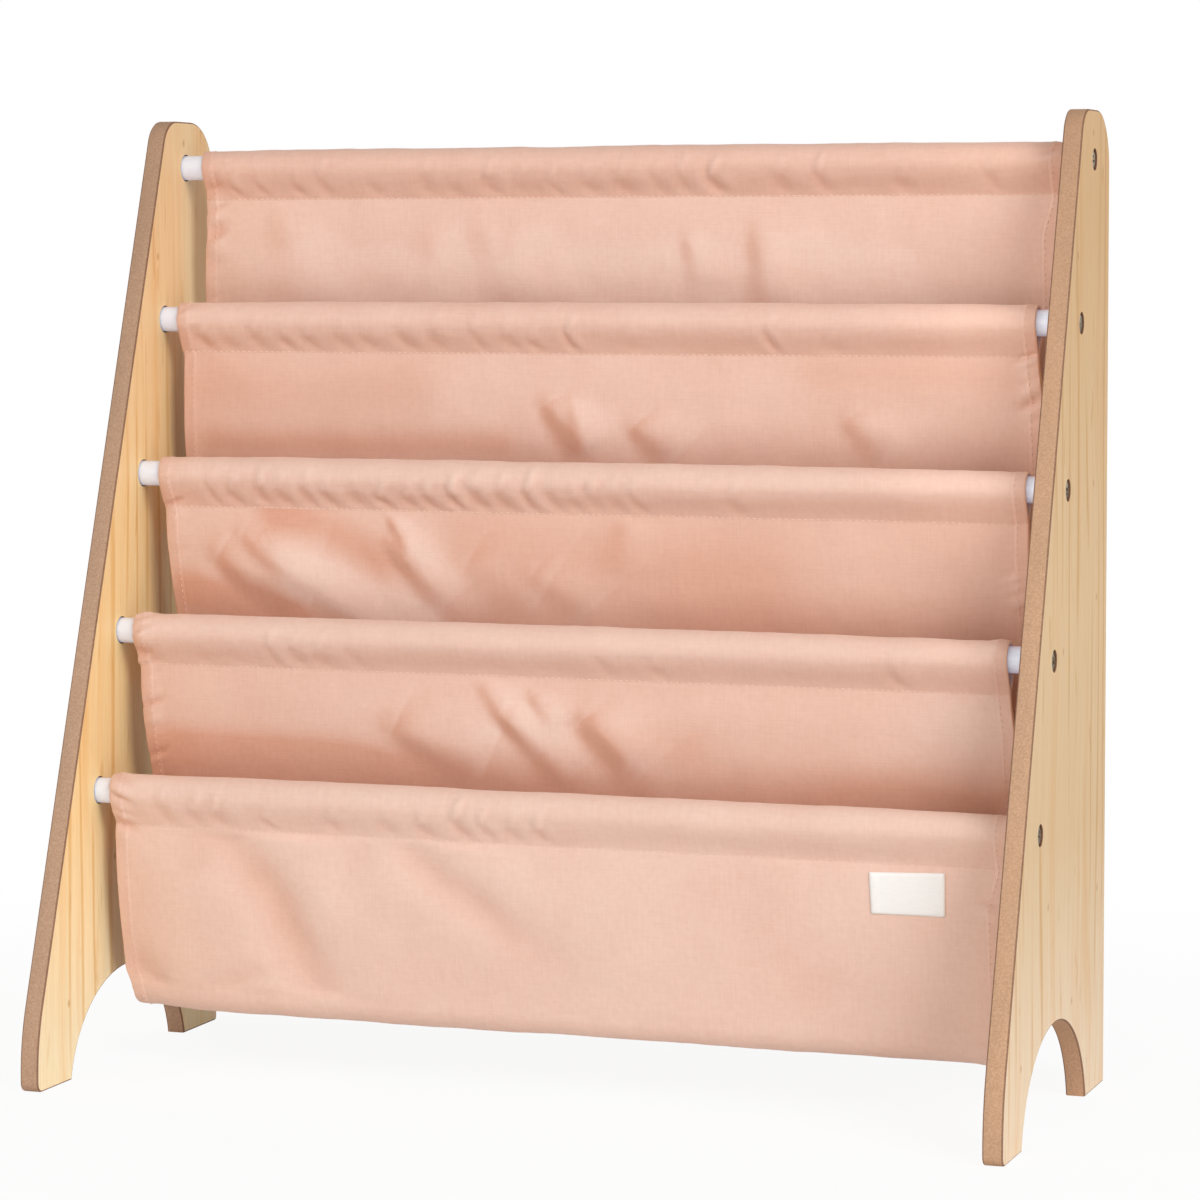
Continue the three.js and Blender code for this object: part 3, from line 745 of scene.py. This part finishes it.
def path_rows():
    """The ribbon's midline: place (y, z), side that shows, part, index, drop and ply, which is
    1 for the rear one of the two at a seam and -1 for the other."""
    rows = []

    def sleeve(index, from_rear):
        y, z = RODS[index]
        half = math.pi - math.acos(SLEEVE_RADIUS / SEAM_DROP)
        round_rod = lambda a: np.array([y + SLEEVE_RADIUS * math.sin(a), z + SLEEVE_RADIUS * math.cos(a)])
        sides = []
        for sign in (1, -1):
            seam = np.array([y + sign * LAYER, z - SEAM_DROP])
            sides.append(seam + np.linspace(0, 1, 12)[:, None] * (round_rod(sign * half) - seam))
        arc = [round_rod(a) for a in np.linspace(half, -half, 32)[1:-1]]
        points = np.array([*sides[0], *arc, *sides[1][::-1]])
        steps = travelled(points)
        heights = steps[-1] - steps
        plies = [1] * 12 + [0] * 30 + [-1] * 12
        if index == 0:
            points = np.r_[[(y + LAYER, z - SEAM_DROP - d) for d in reversed(FLAP_ROWS)], points]
            heights = np.r_[[steps[-1]] * 3, heights]
            plies = [1] * 3 + plies
        side = 1 if from_rear else -1
        for k in range(len(points))[::side]:
            rows.append((*points[k], side, SLEEVE, index, heights[k], plies[k]))

    def pocket(index):
        y, z = RODS[index]
        ny, nz = RODS[index + 1]
        lowest = index == ROD_COUNT - 2
        back_top = np.array([y - LAYER, z - SEAM_DROP])
        front_top = np.array([ny + (-LAYER if lowest else LAYER), nz - SEAM_DROP])
        turn = np.array([y + (ny - y) * TURN_PLACE, nz - POCKET_BELOW_ROD + TURN_RADIUS])

        def touch(top, side):
            to = top - turn
            return math.atan2(to[1], to[0]) + side * math.acos(TURN_RADIUS / np.hypot(*to))

        back, front = touch(back_top, -1), touch(front_top, 1) - 2 * math.pi
        spoke = lambda a: turn + TURN_RADIUS * direction(a)
        down_back, down_front = spoke(back) - back_top, spoke(front) - front_top
        back_drop, front_drop = float(np.hypot(*down_back)), float(np.hypot(*down_front))
        shows = -1 if lowest else 1
        for d in [1, *np.arange(2.5, 82, 1.9), *np.linspace(86, back_drop, 20)]:
            rows.append((*(back_top + down_back * d / back_drop), 1, BACK, index, d, -1))
        for a in np.linspace(back, front, 22)[1:-1]:
            rows.append((*spoke(a), shows, TURN, index, a, 0))
        for d in np.linspace(front_drop, 1, 62) if lowest else np.linspace(front_drop, 2, 18):
            rows.append((*(front_top + down_front * d / front_drop), shows, FRONT_WALL, index, d, shows))

    sleeve(0, True)
    for index in range(ROD_COUNT - 1):
        pocket(index)
        sleeve(index + 1, index < ROD_COUNT - 2)
    y, z = RODS[-1]
    for d in FLAP_ROWS:
        rows.append((y + LAYER, z - SEAM_DROP - d, -1, SLEEVE, ROD_COUNT - 1, rows[-1][DROP], 1))
    return np.array(rows)


def part_of(rows, region, index):
    return (rows[:, REGION] == region) & (rows[:, INDEX] == index)


def wall_start(index, drop):
    """How far the left edge of a wall that shows is drawn to the right at a drop."""
    upper, lower = WALL_START[index]
    return upper + (lower - upper) * smooth(drop, 0, 70)


def sling_relief(rows, x, length):
    """How far each point of the cloth stands out, how far it is drawn along x, and the painted shade
    on it."""
    out = np.zeros((len(rows), len(x)))
    shift = np.zeros_like(out)
    painted_shade = np.full_like(out, BARE_SHADE)
    left = np.clip((SLING_HALF - x) / (2 * SLING_HALF), 0, 1)
    right = 1 - left
    at_left, at_right = smooth(-x, DRAWN_FROM, SLING_HALF), smooth(x, DRAWN_FROM, SLING_HALF)
    for index in range(ROD_COUNT):
        here = part_of(rows, SLEEVE, index)
        height = rows[here, DROP][:, None]
        whole = height.max()
        near = np.minimum(height, whole - height)
        over = smooth(near, 3, 16)
        loose = 0.2 + 1.1 * (1 - (x / SLING_HALF) ** 8)
        loose = loose + 0.4 * soft_noise(x / 34, near / 90, 10 + index)
        folds = []
        rng = np.random.default_rng(70 + index)
        for place, strength in PUCKERS[index]:
            reach, lean = 14 + 4 * rng.uniform(-1, 1), 7 + 2 * rng.uniform(-1, 1)
            strength *= rng.uniform(0.65, 1.2) * (0.75 if index < 2 else 1)
            folds.append((4.3 + 1.5 * rng.uniform(-1, 1), -1.45 * strength,
                          (place + 1.5, 0.5), (place - 0.5 * lean, 0.5 * reach), (place - lean, reach)))
            folds.append((2.4, rng.uniform(0.3, 1.1) * strength, (place - lean + 1, reach - 2),
                          (place - lean + 7, reach + 11)))
        puckers = strokes(x, height[:, 0], folds) * smooth(height, 0, 4)
        backs = [(2.6, -0.8, (p + rng.uniform(-9, 9), 1), (p + rng.uniform(-9, 9) + 4, 13))
                 for p in np.arange(-270, 275, 23)]
        backs = strokes(x, whole - height[:, 0], backs) * smooth(whole - height, 0, 4)
        out[here] = over * loose + puckers + backs
        # Painted shade: each sleeve darker on its lower part, which faces down, and in the hollows of its
        # puckers; its rear half keeps the bare level.
        upper, lower = SLEEVE_SHADE[index]
        painted_shade[here] = lower + (upper - lower) * smooth(height, 9, 24) - 0.13 * puckers
        painted_shade[here] += (BARE_SHADE - upper) * smooth(height, whole / 2, 0.75 * whole)
        middle = smooth(SLING_HALF - np.abs(x), 4, 40)
        shift[here] = (
            SLEEVE_END[index] * at_right + SLEEVE_START[index] * at_left
            - 1.6 * smooth(near, 26, 38) * smooth(-x, SLING_HALF - 45, SLING_HALF)
            + 1.2 * soft_noise(x / 25, height / 11, 30 + index) * over * middle
        )
    for index in range(ROD_COUNT - 1):
        lowest = index == ROD_COUNT - 2
        here = part_of(rows, BACK, index)
        drop = rows[here, DROP][:, None]
        belly = 1.3 * smooth(drop, 0, 26) - 3.8 * smooth(drop, 42, 92) + 2.5 * smooth(drop, 100, 170)
        fade = smooth(drop, 0, 7) * (1 - smooth(drop, 95, 150))
        folds = 1.7 * strokes(x, drop[:, 0], WALL_FOLDS[index], 1.3, "ridged") * fade
        waves = 0.55 * soft_noise(x / 62, drop / 46, 40 + index) * smooth(drop, 0, 20)
        out[here] = belly + folds + waves
        # Painted shade: darker towards each wall's foot (lighter on the top wall), over each wall and the
        # right part of the third, and on fold sides turned away from the key lamp; then the strokes of
        # painted shade and light.
        shade = smooth(drop, 34, 76) * (1 + 0.35 * soft_noise(x / 70, drop / 60, 90 + index))
        right_part_shade = smooth(x, -80, 120) if index == 2 else 0
        facing_from_key = np.clip(np.gradient(folds, x, axis=1), -0.1, 0.4)
        painted_shade[here] = WALL_FOOT_SHADE[index] * shade + 3 * facing_from_key + WALL_BASE_SHADE[index] + 0.15 * right_part_shade
        painted_shade[here] += strokes(x, drop[:, 0], WALL_SHADES[index], kind="plain")
        drift = WALL_DRIFT[index] * left**1.6 + 0.4 * WALL_DRIFT[index] * right**2
        shift[here] = (
            drift * smooth(drop, 0, 95) ** 1.2 * (1 - 0.6 * smooth(drop, 110, 190))
            + SLEEVE_END[index] * at_right * (1 - smooth(drop, 0, 28))
            + wall_start(index, drop) * (1 - smooth(drop, 95, 190)) * at_left
        )
        here = part_of(rows, TURN, index)
        end = 0.4 * drift
        shift[here] = end
        if lowest:
            around = rows[here, DROP][:, None]
            around = smooth(around, around.min(), around.max())
            swell = np.sin(math.pi * around)
            corner = np.exp(-(((x + SLING_HALF) / 26) ** 2))
            out[here] = 0.5 * soft_noise(x / 48, around * 2, 60) * swell - 3.4 * corner * swell
            painted_shade[here] = FRONT_SHADE
            shift[here] += left**8 * (4 * (1 - around) + 3 * swell)
        here = part_of(rows, FRONT_WALL, index)
        drop = rows[here, DROP][:, None]
        share = drop / drop.max()
        shift[here] = end * smooth(share, 0, 1) * (0.6 if lowest else 1)
        shift[here] += SLEEVE_END[index + 1] * at_right * (1 - smooth(drop, 0, 28))
        start = SLEEVE_START[index + 1] * (1 - smooth(drop, 0, 14))
        if lowest:
            fade = smooth(drop, 0, 7) * (1 - smooth(share, 0.93, 1))
            belly = 2.6 * np.sin(math.pi * np.clip(share, 0, 1) ** 0.85)
            folds = 1.5 * strokes(x, drop[:, 0], LOWEST_FOLDS, 2) * fade
            relief = belly + folds + 0.5 * soft_noise(x / 55, drop / 40, 61) * fade
            for k, flap in enumerate(FLAP_ROWS):
                out[k - len(FLAP_ROWS)] = 0.15 - relief[np.argmin(np.abs(drop[:, 0] - flap))]
            # Painted shade in the hollows of the folds and painted light on their crests.
            painted_shade[here] = FRONT_SHADE - 0.1 * folds
            shift[here] += 4 * left**8 * smooth(share, 0.86, 1)
        else:
            # Hidden, and kept just inside the left edge of the wall in front of it
            relief = 2 * np.sin(math.pi * share) ** 2
            beside = wall_start(index + 1, drop) + 1.4
            start = start + beside * smooth(drop, 0, 14) * (1 - smooth(share, 0.75, 1))
        out[here] = relief
        shift[here] += start * at_left
    # Small creases along both side hems and a faint unevenness of the whole cloth
    down = length[:, None]
    edge = SLING_HALF - np.abs(x)
    wrinkle = soft_noise(down / 3.6 + x / 9, x / 40, 80)
    patch = smooth(soft_noise(down / 26, x / 300, 81), -0.25, 0.6)
    ruck = wrinkle * patch * np.exp(-(((edge - 7) / 7) ** 2))
    out += 2.2 * ruck
    out += 0.16 * soft_noise(x / 9, down / 11, 82) * smooth(edge, 0, 9)
    out += 0.3 * soft_noise(x / 21, down / 27, 83) * smooth(edge, 0, 12)
    # Darker along both hems, with painted shade in the hollows of their creases and painted light on
    # their crests.
    painted_shade += 0.14 * (1 - smooth(edge, 6, 11)) - 0.3 * ruck
    return out, shift, np.clip(painted_shade, 0, 1.2)


def sling_surfaces():
    """The cloth's two faces as grids of points, with the grid's rows, columns and flat length."""
    rows = path_rows()
    place = rows[:, :2]
    travel = unit(np.gradient(place, axis=0))
    face = np.c_[travel[:, 1], -travel[:, 0]] * rows[:, SIDE, None]
    length = travelled(place)
    hem = SLING_HALF - HEM_WIDTH
    x = np.unique(np.r_[np.linspace(-hem + 0.9, hem - 0.9, 356),
                        [s * (hem + e) for s in (-1, 1) for e in (-0.4, 0, 0.4, 2, 3.6, 5.2, 6.4)],
                        [s * (SLING_HALF - e) for s in (-1, 1) for e in (0, 0.15, 0.45, 0.9)]])
    edge = SLING_HALF - np.abs(x)
    thick = HEM_CLOTH + (CLOTH - HEM_CLOTH) * smooth(edge, HEM_WIDTH - 0.5, HEM_WIDTH + 0.5)
    thick = thick * np.sqrt(1 - 0.86 * (1 - np.clip(edge / 0.85, 0, 1)) ** 2)
    out, shift, painted_shade = sling_relief(rows, x, length)
    below_seam = np.where(rows[:, REGION] == SLEEVE, 0, rows[:, DROP])
    apart = (rows[:, PLY] * np.exp(-np.abs(below_seam) / 14))[:, None]
    grid = np.empty((*out.shape, 3))
    grid[..., 0] = x + shift
    grid[..., 1] = place[:, :1] + face[:, :1] * out + apart * (thick - CLOTH) / 2
    grid[..., 2] = place[:, 1:] + face[:, 1:] * out
    normal = unit(np.cross(np.gradient(grid, axis=0), np.gradient(grid, axis=1)))
    normal *= np.sign((normal[..., 1:] * face[:, None, :]).sum(2))[..., None]
    half = normal * thick[:, None] / 2
    return rows, x, length, grid + half, grid - half, painted_shade


def grid_at(grid, x, places, row):
    """A point of a grid of points, at a place across and a row given with its fraction."""
    column = np.interp(places, x, np.arange(len(x)))
    c = np.minimum(column.astype(int), len(x) - 2)
    r = np.minimum(np.asarray(row).astype(int), len(grid) - 2)
    fc, fr = (column - c)[:, None], (np.asarray(row) - r)[:, None]
    near = grid[r, c] * (1 - fc) + grid[r, c + 1] * fc
    far = grid[r + 1, c] * (1 - fc) + grid[r + 1, c + 1] * fc
    return near * (1 - fr) + far * fr


def sheet(name, one, other, flat, material):
    """A closed cloth between two grids of points. Its places when flat are its uv map."""

    def quads(grid):
        return np.stack([grid[:-1, :-1], grid[:-1, 1:], grid[1:, 1:], grid[1:, :-1]], 2).reshape(-1, 4)

    verts = np.concatenate([one, other]).reshape(-1, 3) * MM
    flat = np.concatenate([flat, flat]).reshape(-1, 2) * MM
    near = np.arange(len(verts) // 2).reshape(one.shape[:2])
    far = near + near.size
    faces = np.concatenate([quads(grid) for grid in (
        near, far.T,
        np.c_[near[0], far[0]], np.array([near[-1], far[-1]]),
        np.array([near[:, 0], far[:, 0]]), np.c_[near[:, -1], far[:, -1]],
    )])
    mesh = bpy.data.meshes.new(name)
    mesh.vertices.add(len(verts))
    mesh.vertices.foreach_set("co", verts.ravel())
    mesh.loops.add(faces.size)
    mesh.loops.foreach_set("vertex_index", faces.ravel())
    mesh.polygons.add(len(faces))
    mesh.polygons.foreach_set("loop_start", np.arange(0, faces.size, 4))
    mesh.polygons.foreach_set("use_smooth", np.ones(len(faces), bool))
    mesh.uv_layers.new(name="flat").data.foreach_set("uv", flat[faces.ravel()].ravel())
    mesh.update(calc_edges=True)
    mesh.validate()
    edit_mesh(mesh, face_outwards)
    return make_object(name, mesh, material)


def sling(surfaces, material):
    rows, x, length, front, back, painted_shade = surfaces
    shows = rows[:, SIDE, None] > 0
    faces = np.where(shows[..., None], (front, back), (back, front))
    piece = sheet("sling", *faces, np.stack(np.meshgrid(x, length), axis=2), material)
    # The painted shade goes on the side of the cloth that shows; the other side keeps the bare level.
    bare = np.full_like(painted_shade, BARE_SHADE)
    shade_layer = piece.data.attributes.new("painted_shade", "FLOAT", "POINT")
    shade_layer.data.foreach_set("value", np.where(shows, (painted_shade, bare), (bare, painted_shade)).ravel())
    return piece


def threads(name, places, radius, material):
    """Stitches as short round threads, bowed up in the middle: pairs of ends and a way out."""
    verts, faces = [], []
    sides, rings = 6, 5
    for start, end, out in places:
        beside = unit(np.cross(unit(end - start), out))
        base = len(verts)
        for t in np.linspace(0, 1, rings):
            bow = math.sin(math.pi * t)
            centre = start + (end - start) * t + out * radius * (1.5 * bow - 0.7)
            size = radius * (0.45 + 0.55 * bow)
            for a in np.linspace(0, 2 * math.pi, sides, endpoint=False):
                verts.append(centre + size * (math.cos(a) * beside + math.sin(a) * out))
        for k in range(rings - 1):
            for m in range(sides):
                n = (m + 1) % sides
                faces.append((base + k * sides + m, base + k * sides + n,
                              base + (k + 1) * sides + n, base + (k + 1) * sides + m))
        faces.append(tuple(base + m for m in reversed(range(sides))))
        faces.append(tuple(base + (rings - 1) * sides + m for m in range(sides)))
    return mesh_object(name, np.array(verts) * MM, faces, material)


def stitch_line(surfaces, across, rows, size, seed):
    """Stitches along a line on the side of the cloth that shows, given as x and row numbers."""
    _, x, _, front, back, _ = surfaces
    points = grid_at(front, x, across, rows)
    inner = grid_at(back, x, across, rows)
    steps = travelled(points)
    place = lambda line, way: np.array([np.interp(way, steps, line[:, k]) for k in range(3)])
    rng = np.random.default_rng(seed)
    found = []
    for s in np.arange(0.8, steps[-1] - STITCH_PITCH, STITCH_PITCH):
        s = s + rng.uniform(-0.15, 0.15)
        start, end = place(points, s), place(points, s + size)
        found.append((start, end, unit((start + end) / 2 - place(inner, s + size / 2))))
    return found


def stitching(surfaces, material):
    rows = surfaces[0]
    lines = []
    across = np.linspace(-SLING_HALF + 1, SLING_HALF - 1, 900)
    for index in range(ROD_COUNT):
        here = np.flatnonzero(part_of(rows, SLEEVE, index))
        seam = here[np.argmin(rows[here, DROP])]
        lines += stitch_line(surfaces, across, np.full_like(across, seam), SEAM_STITCH, index)
        if index == 0:
            rear_seam = np.full_like(across, len(FLAP_ROWS) - 0.5)
            lines += stitch_line(surfaces, across, rear_seam, SEAM_STITCH, 50)
    down = np.linspace(0, len(rows) - 1.01, 4000)
    for side in (-1, 1):
        hem = np.full_like(down, side * (SLING_HALF - HEM_WIDTH + HEM_STITCH_IN))
        lines += stitch_line(surfaces, hem, down, HEM_STITCH, 60 + side)
    return threads("sling_stitches", lines, THREAD_RADIUS, material)


def label(surfaces, material):
    """A bare tape sewn on the lowest front wall, a little askew, with its ends turned under."""
    rows, x, _, front, back, _ = surfaces
    wall = np.flatnonzero(part_of(rows, FRONT_WALL, ROD_COUNT - 2))
    u, v = np.meshgrid(np.linspace(0, 1, 33), np.linspace(0, 1, 19))
    grid_shape = (*u.shape, -1)
    u, v = u.ravel(), v.ravel()
    wanted = LABEL_LEFT + LABEL_WIDTH * u + LABEL_SKEW * v * (1 - u)
    drop = LABEL_DROP + LABEL_HEIGHT * v - LABEL_TILT * (u - 0.5) * (1 - 0.85 * v)
    row = np.interp(drop, rows[wall, DROP][::-1], wall[::-1].astype(float))
    place = wanted.copy()
    for _ in range(4):
        place += wanted - grid_at(front, x, place, row)[:, 0]
    cloth_face = grid_at(front, x, place, row)
    out = unit(cloth_face - grid_at(back, x, place, row))
    from_end, from_side = np.minimum(u, 1 - u) * LABEL_WIDTH, np.minimum(v, 1 - v) * LABEL_HEIGHT
    fold = 0.35 * (from_end < 4.5)
    rounded = 0.5 * (1 - np.clip(np.minimum(from_end, from_side) / 1.2, 0, 1)) ** 2
    lift = (0.95 + fold - rounded)[:, None]
    grids = (cloth_face + out * lift, cloth_face + out * 0.12, np.c_[u * LABEL_WIDTH, v * LABEL_HEIGHT])
    return sheet("sling_label", *(grid.reshape(grid_shape) for grid in grids), material)


# Stage


def aimed(place, right, ahead):
    """The matrix of a camera or lamp at a place in metres that looks ahead."""
    turn = Matrix((right, right.cross(ahead), -ahead)).transposed().to_4x4()
    return Matrix.Translation(place) @ turn


def stage():
    scene = bpy.context.scene
    scene.view_settings.view_transform = "Standard"

    camera = make_object("camera", bpy.data.cameras.new("camera"))
    right = Vector((0.935817, 0.352485, -0.001122))
    ahead = Vector((-0.35204, 0.934466, -0.053294))
    camera.matrix_world = aimed((0.84739, -2.39726, 0.51082), right, ahead)
    camera.data.sensor_width = 36
    camera.data.lens = 124.656
    camera.data.shift_x = 0.1
    camera.data.shift_y = -0.1
    camera.data.clip_end = 50
    scene.camera = camera

    # White to the camera, in mirrors and through glass, and dimmer as a light
    world = bpy.data.worlds.new("studio")
    world.use_nodes = True
    scene.world = world
    tree = world.node_tree
    rays = add_node(tree, "LightPath").outputs
    seen = rays["Is Camera Ray"]
    for kind in ("Is Glossy Ray", "Is Transmission Ray"):
        seen = add_node(tree, "Math", {"operation": "MAXIMUM"}, _0=seen, _1=rays[kind]).outputs[0]
    level = add_node(tree, "MapRange", _0=seen, _3=0.36, _4=1).outputs[0]
    background = tree.nodes["Background"].inputs
    fill_socket(tree, background["Color"], (1, 1, 1, 1))
    fill_socket(tree, background["Strength"], level)

    for name, place, size, power in (
        ("key", (2.6, -1.9, 1.8), 1.9, 73),
        ("left", (-2.3, -2.3, 1.5), 2.2, 22),
        ("front", (0.3, -3.2, 0.9), 2.0, 11),
        ("rear", (-3.0, 1.8, 0.45), 0.8, 30),
    ):
        lamp = bpy.data.lights.new(name, "AREA")
        lamp.size = size
        lamp.energy = power
        made = make_object(name, lamp)
        made.location = place
        to = Vector((0, 0, 0.28)) - Vector(place)
        made.rotation_euler = to.to_track_quat("-Z", "Y").to_euler()

    # A narrow fill along the row of rods, on the cloth's right ends in the board's shadow
    lamp = bpy.data.lights.new("fill", "SPOT")
    lamp.energy = 84
    lamp.spot_size = math.radians(7.4)
    lamp.spot_blend = 1
    lamp.shadow_soft_size = 0.02
    place, aim = Vector((-2.157, -1.662, 1.0)), Vector((0.312, 0.072, 0.44))
    ahead = (aim - place).normalized()
    beside = ahead.cross(Vector((0, math.sin(LEAN), math.cos(LEAN)))).normalized()
    narrowed = Matrix.Diagonal((0.3, 1, 1, 1))
    make_object("fill", lamp).matrix_world = aimed(place, beside, ahead) @ narrowed

    corners = [(-9, -9, 0), (9, -9, 0), (9, 9, 0), (-9, 9, 0)]
    floor = mesh_object("floor", corners, [(0, 1, 2, 3)], floor_material())


def floor_material():
    """Pale, with the object's shadow near it, and plain white to the camera further off."""
    material = bpy.data.materials.new("floor")
    material.use_nodes = True
    tree = material.node_tree
    tree.nodes.clear()
    diffuse = add_node(tree, "BsdfDiffuse", Color=(0.93, 0.93, 0.93, 1)).outputs[0]
    white = add_node(tree, "Emission", Color=(1, 1, 1, 1), Strength=1).outputs[0]
    place = add_node(tree, "TexCoord").outputs["Object"]
    away = add_node(tree, "VectorMath", {"operation": "LENGTH"}, _0=place).outputs["Value"]
    near = add_node(tree, "MapRange", _0=away, _1=0.25, _2=0.9, _3=0.9, _4=1).outputs[0]
    seen = add_node(tree, "LightPath").outputs["Is Camera Ray"]
    shown = add_node(tree, "Math", {"operation": "MULTIPLY"}, _0=near, _1=seen).outputs[0]
    mixed = add_node(tree, "MixShader", _0=shown, _1=diffuse, _2=white).outputs[0]
    add_node(tree, "OutputMaterial", Surface=mixed)
    return material


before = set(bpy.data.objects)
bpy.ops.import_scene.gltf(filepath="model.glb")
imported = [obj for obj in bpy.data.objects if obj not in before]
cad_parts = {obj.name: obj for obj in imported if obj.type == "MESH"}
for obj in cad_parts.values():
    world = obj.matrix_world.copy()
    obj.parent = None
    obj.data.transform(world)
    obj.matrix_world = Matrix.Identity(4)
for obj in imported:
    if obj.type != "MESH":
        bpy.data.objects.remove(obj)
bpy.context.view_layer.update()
stage()

# Per board, laminate colours low, middle and high, then core colours light and dark. Both boards are one
# laminate and one core: the left's yellower, lighter laminate and darker core are painted light and
# shade.
board_tones_as_lit = {
    "left": ((255, 240, 203), (254, 224, 168), (238, 203, 156), (206, 168, 139), (180, 142, 114)),
    "right": ((249, 227, 199), (229, 199, 157), (212, 173, 123), (213, 171, 138), (188, 148, 116)),
}
edge_line = board_core_material("board_edge_line", srgb(164, 126, 100), srgb(134, 98, 76))
# Painted shade: a darker brown for the bores' walls, where little light reaches.
bore_shade = board_core_material("board_bore_painted_shade", srgb(122, 88, 64), srgb(92, 63, 45))
white = rod_material()
steel = metal_material("bolt_steel", srgb(176, 162, 136), srgb(104, 92, 76), 0.24)
brass = metal_material("insert_brass", srgb(212, 180, 110), srgb(170, 138, 78), 0.35)
cloth = cloth_material()
thread = thread_material("seam_thread", srgb(243, 210, 193), srgb(230, 190, 170))
cream = label_material()

for name, side in (("left", -1), ("right", 1)):
    low, middle, high, light, dark = (srgb(*tone) for tone in board_tones_as_lit[name])
    laminate = laminate_material(f"laminate_{name}", low, middle, high)
    core = board_core_material(f"board_core_{name}", light, dark)
    piece = board(f"board_{name}", side, [laminate, core, edge_line, bore_shade])
    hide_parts(f"side_panel_{name}")
    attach(piece, "root")
    shape = bolt_mesh(f"bolt_{name}", side)
    shape.materials.append(steel)
    for index, (y, z) in enumerate(RODS):
        head = make_object(f"bolt_head_{name}_{index + 1}", shape)
        x = side * (OUTER - BOLT_HEAD_SUNK - BOLT_HEAD_HEIGHT)
        head.matrix_world = move_to(x, y, z) @ Matrix.Rotation(0.5 + index * 1.1, 4, "X")
        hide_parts(f"bolt_{name}_{index + 1}")
        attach(head, "root")
        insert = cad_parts[f"insert_{name}_{index + 1}"]
        insert.data.materials.clear()
        insert.data.materials.append(brass)

for index, (y, z) in enumerate(RODS):
    piece = rod(f"round_rod_{index + 1}", y, z, white)
    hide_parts(f"rod_{index + 1}")
    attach(piece, "root")

surfaces = sling_surfaces()
piece = sling(surfaces, cloth)
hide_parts(*[f"sleeve_{i}" for i in range(1, 6)], *[f"pocket_{i}" for i in range(1, 5)])
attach(piece, "root")
sewn = stitching(surfaces, thread)
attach(sewn, "root")
tape = label(surfaces, cream)
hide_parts("label")
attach(tape, "root")
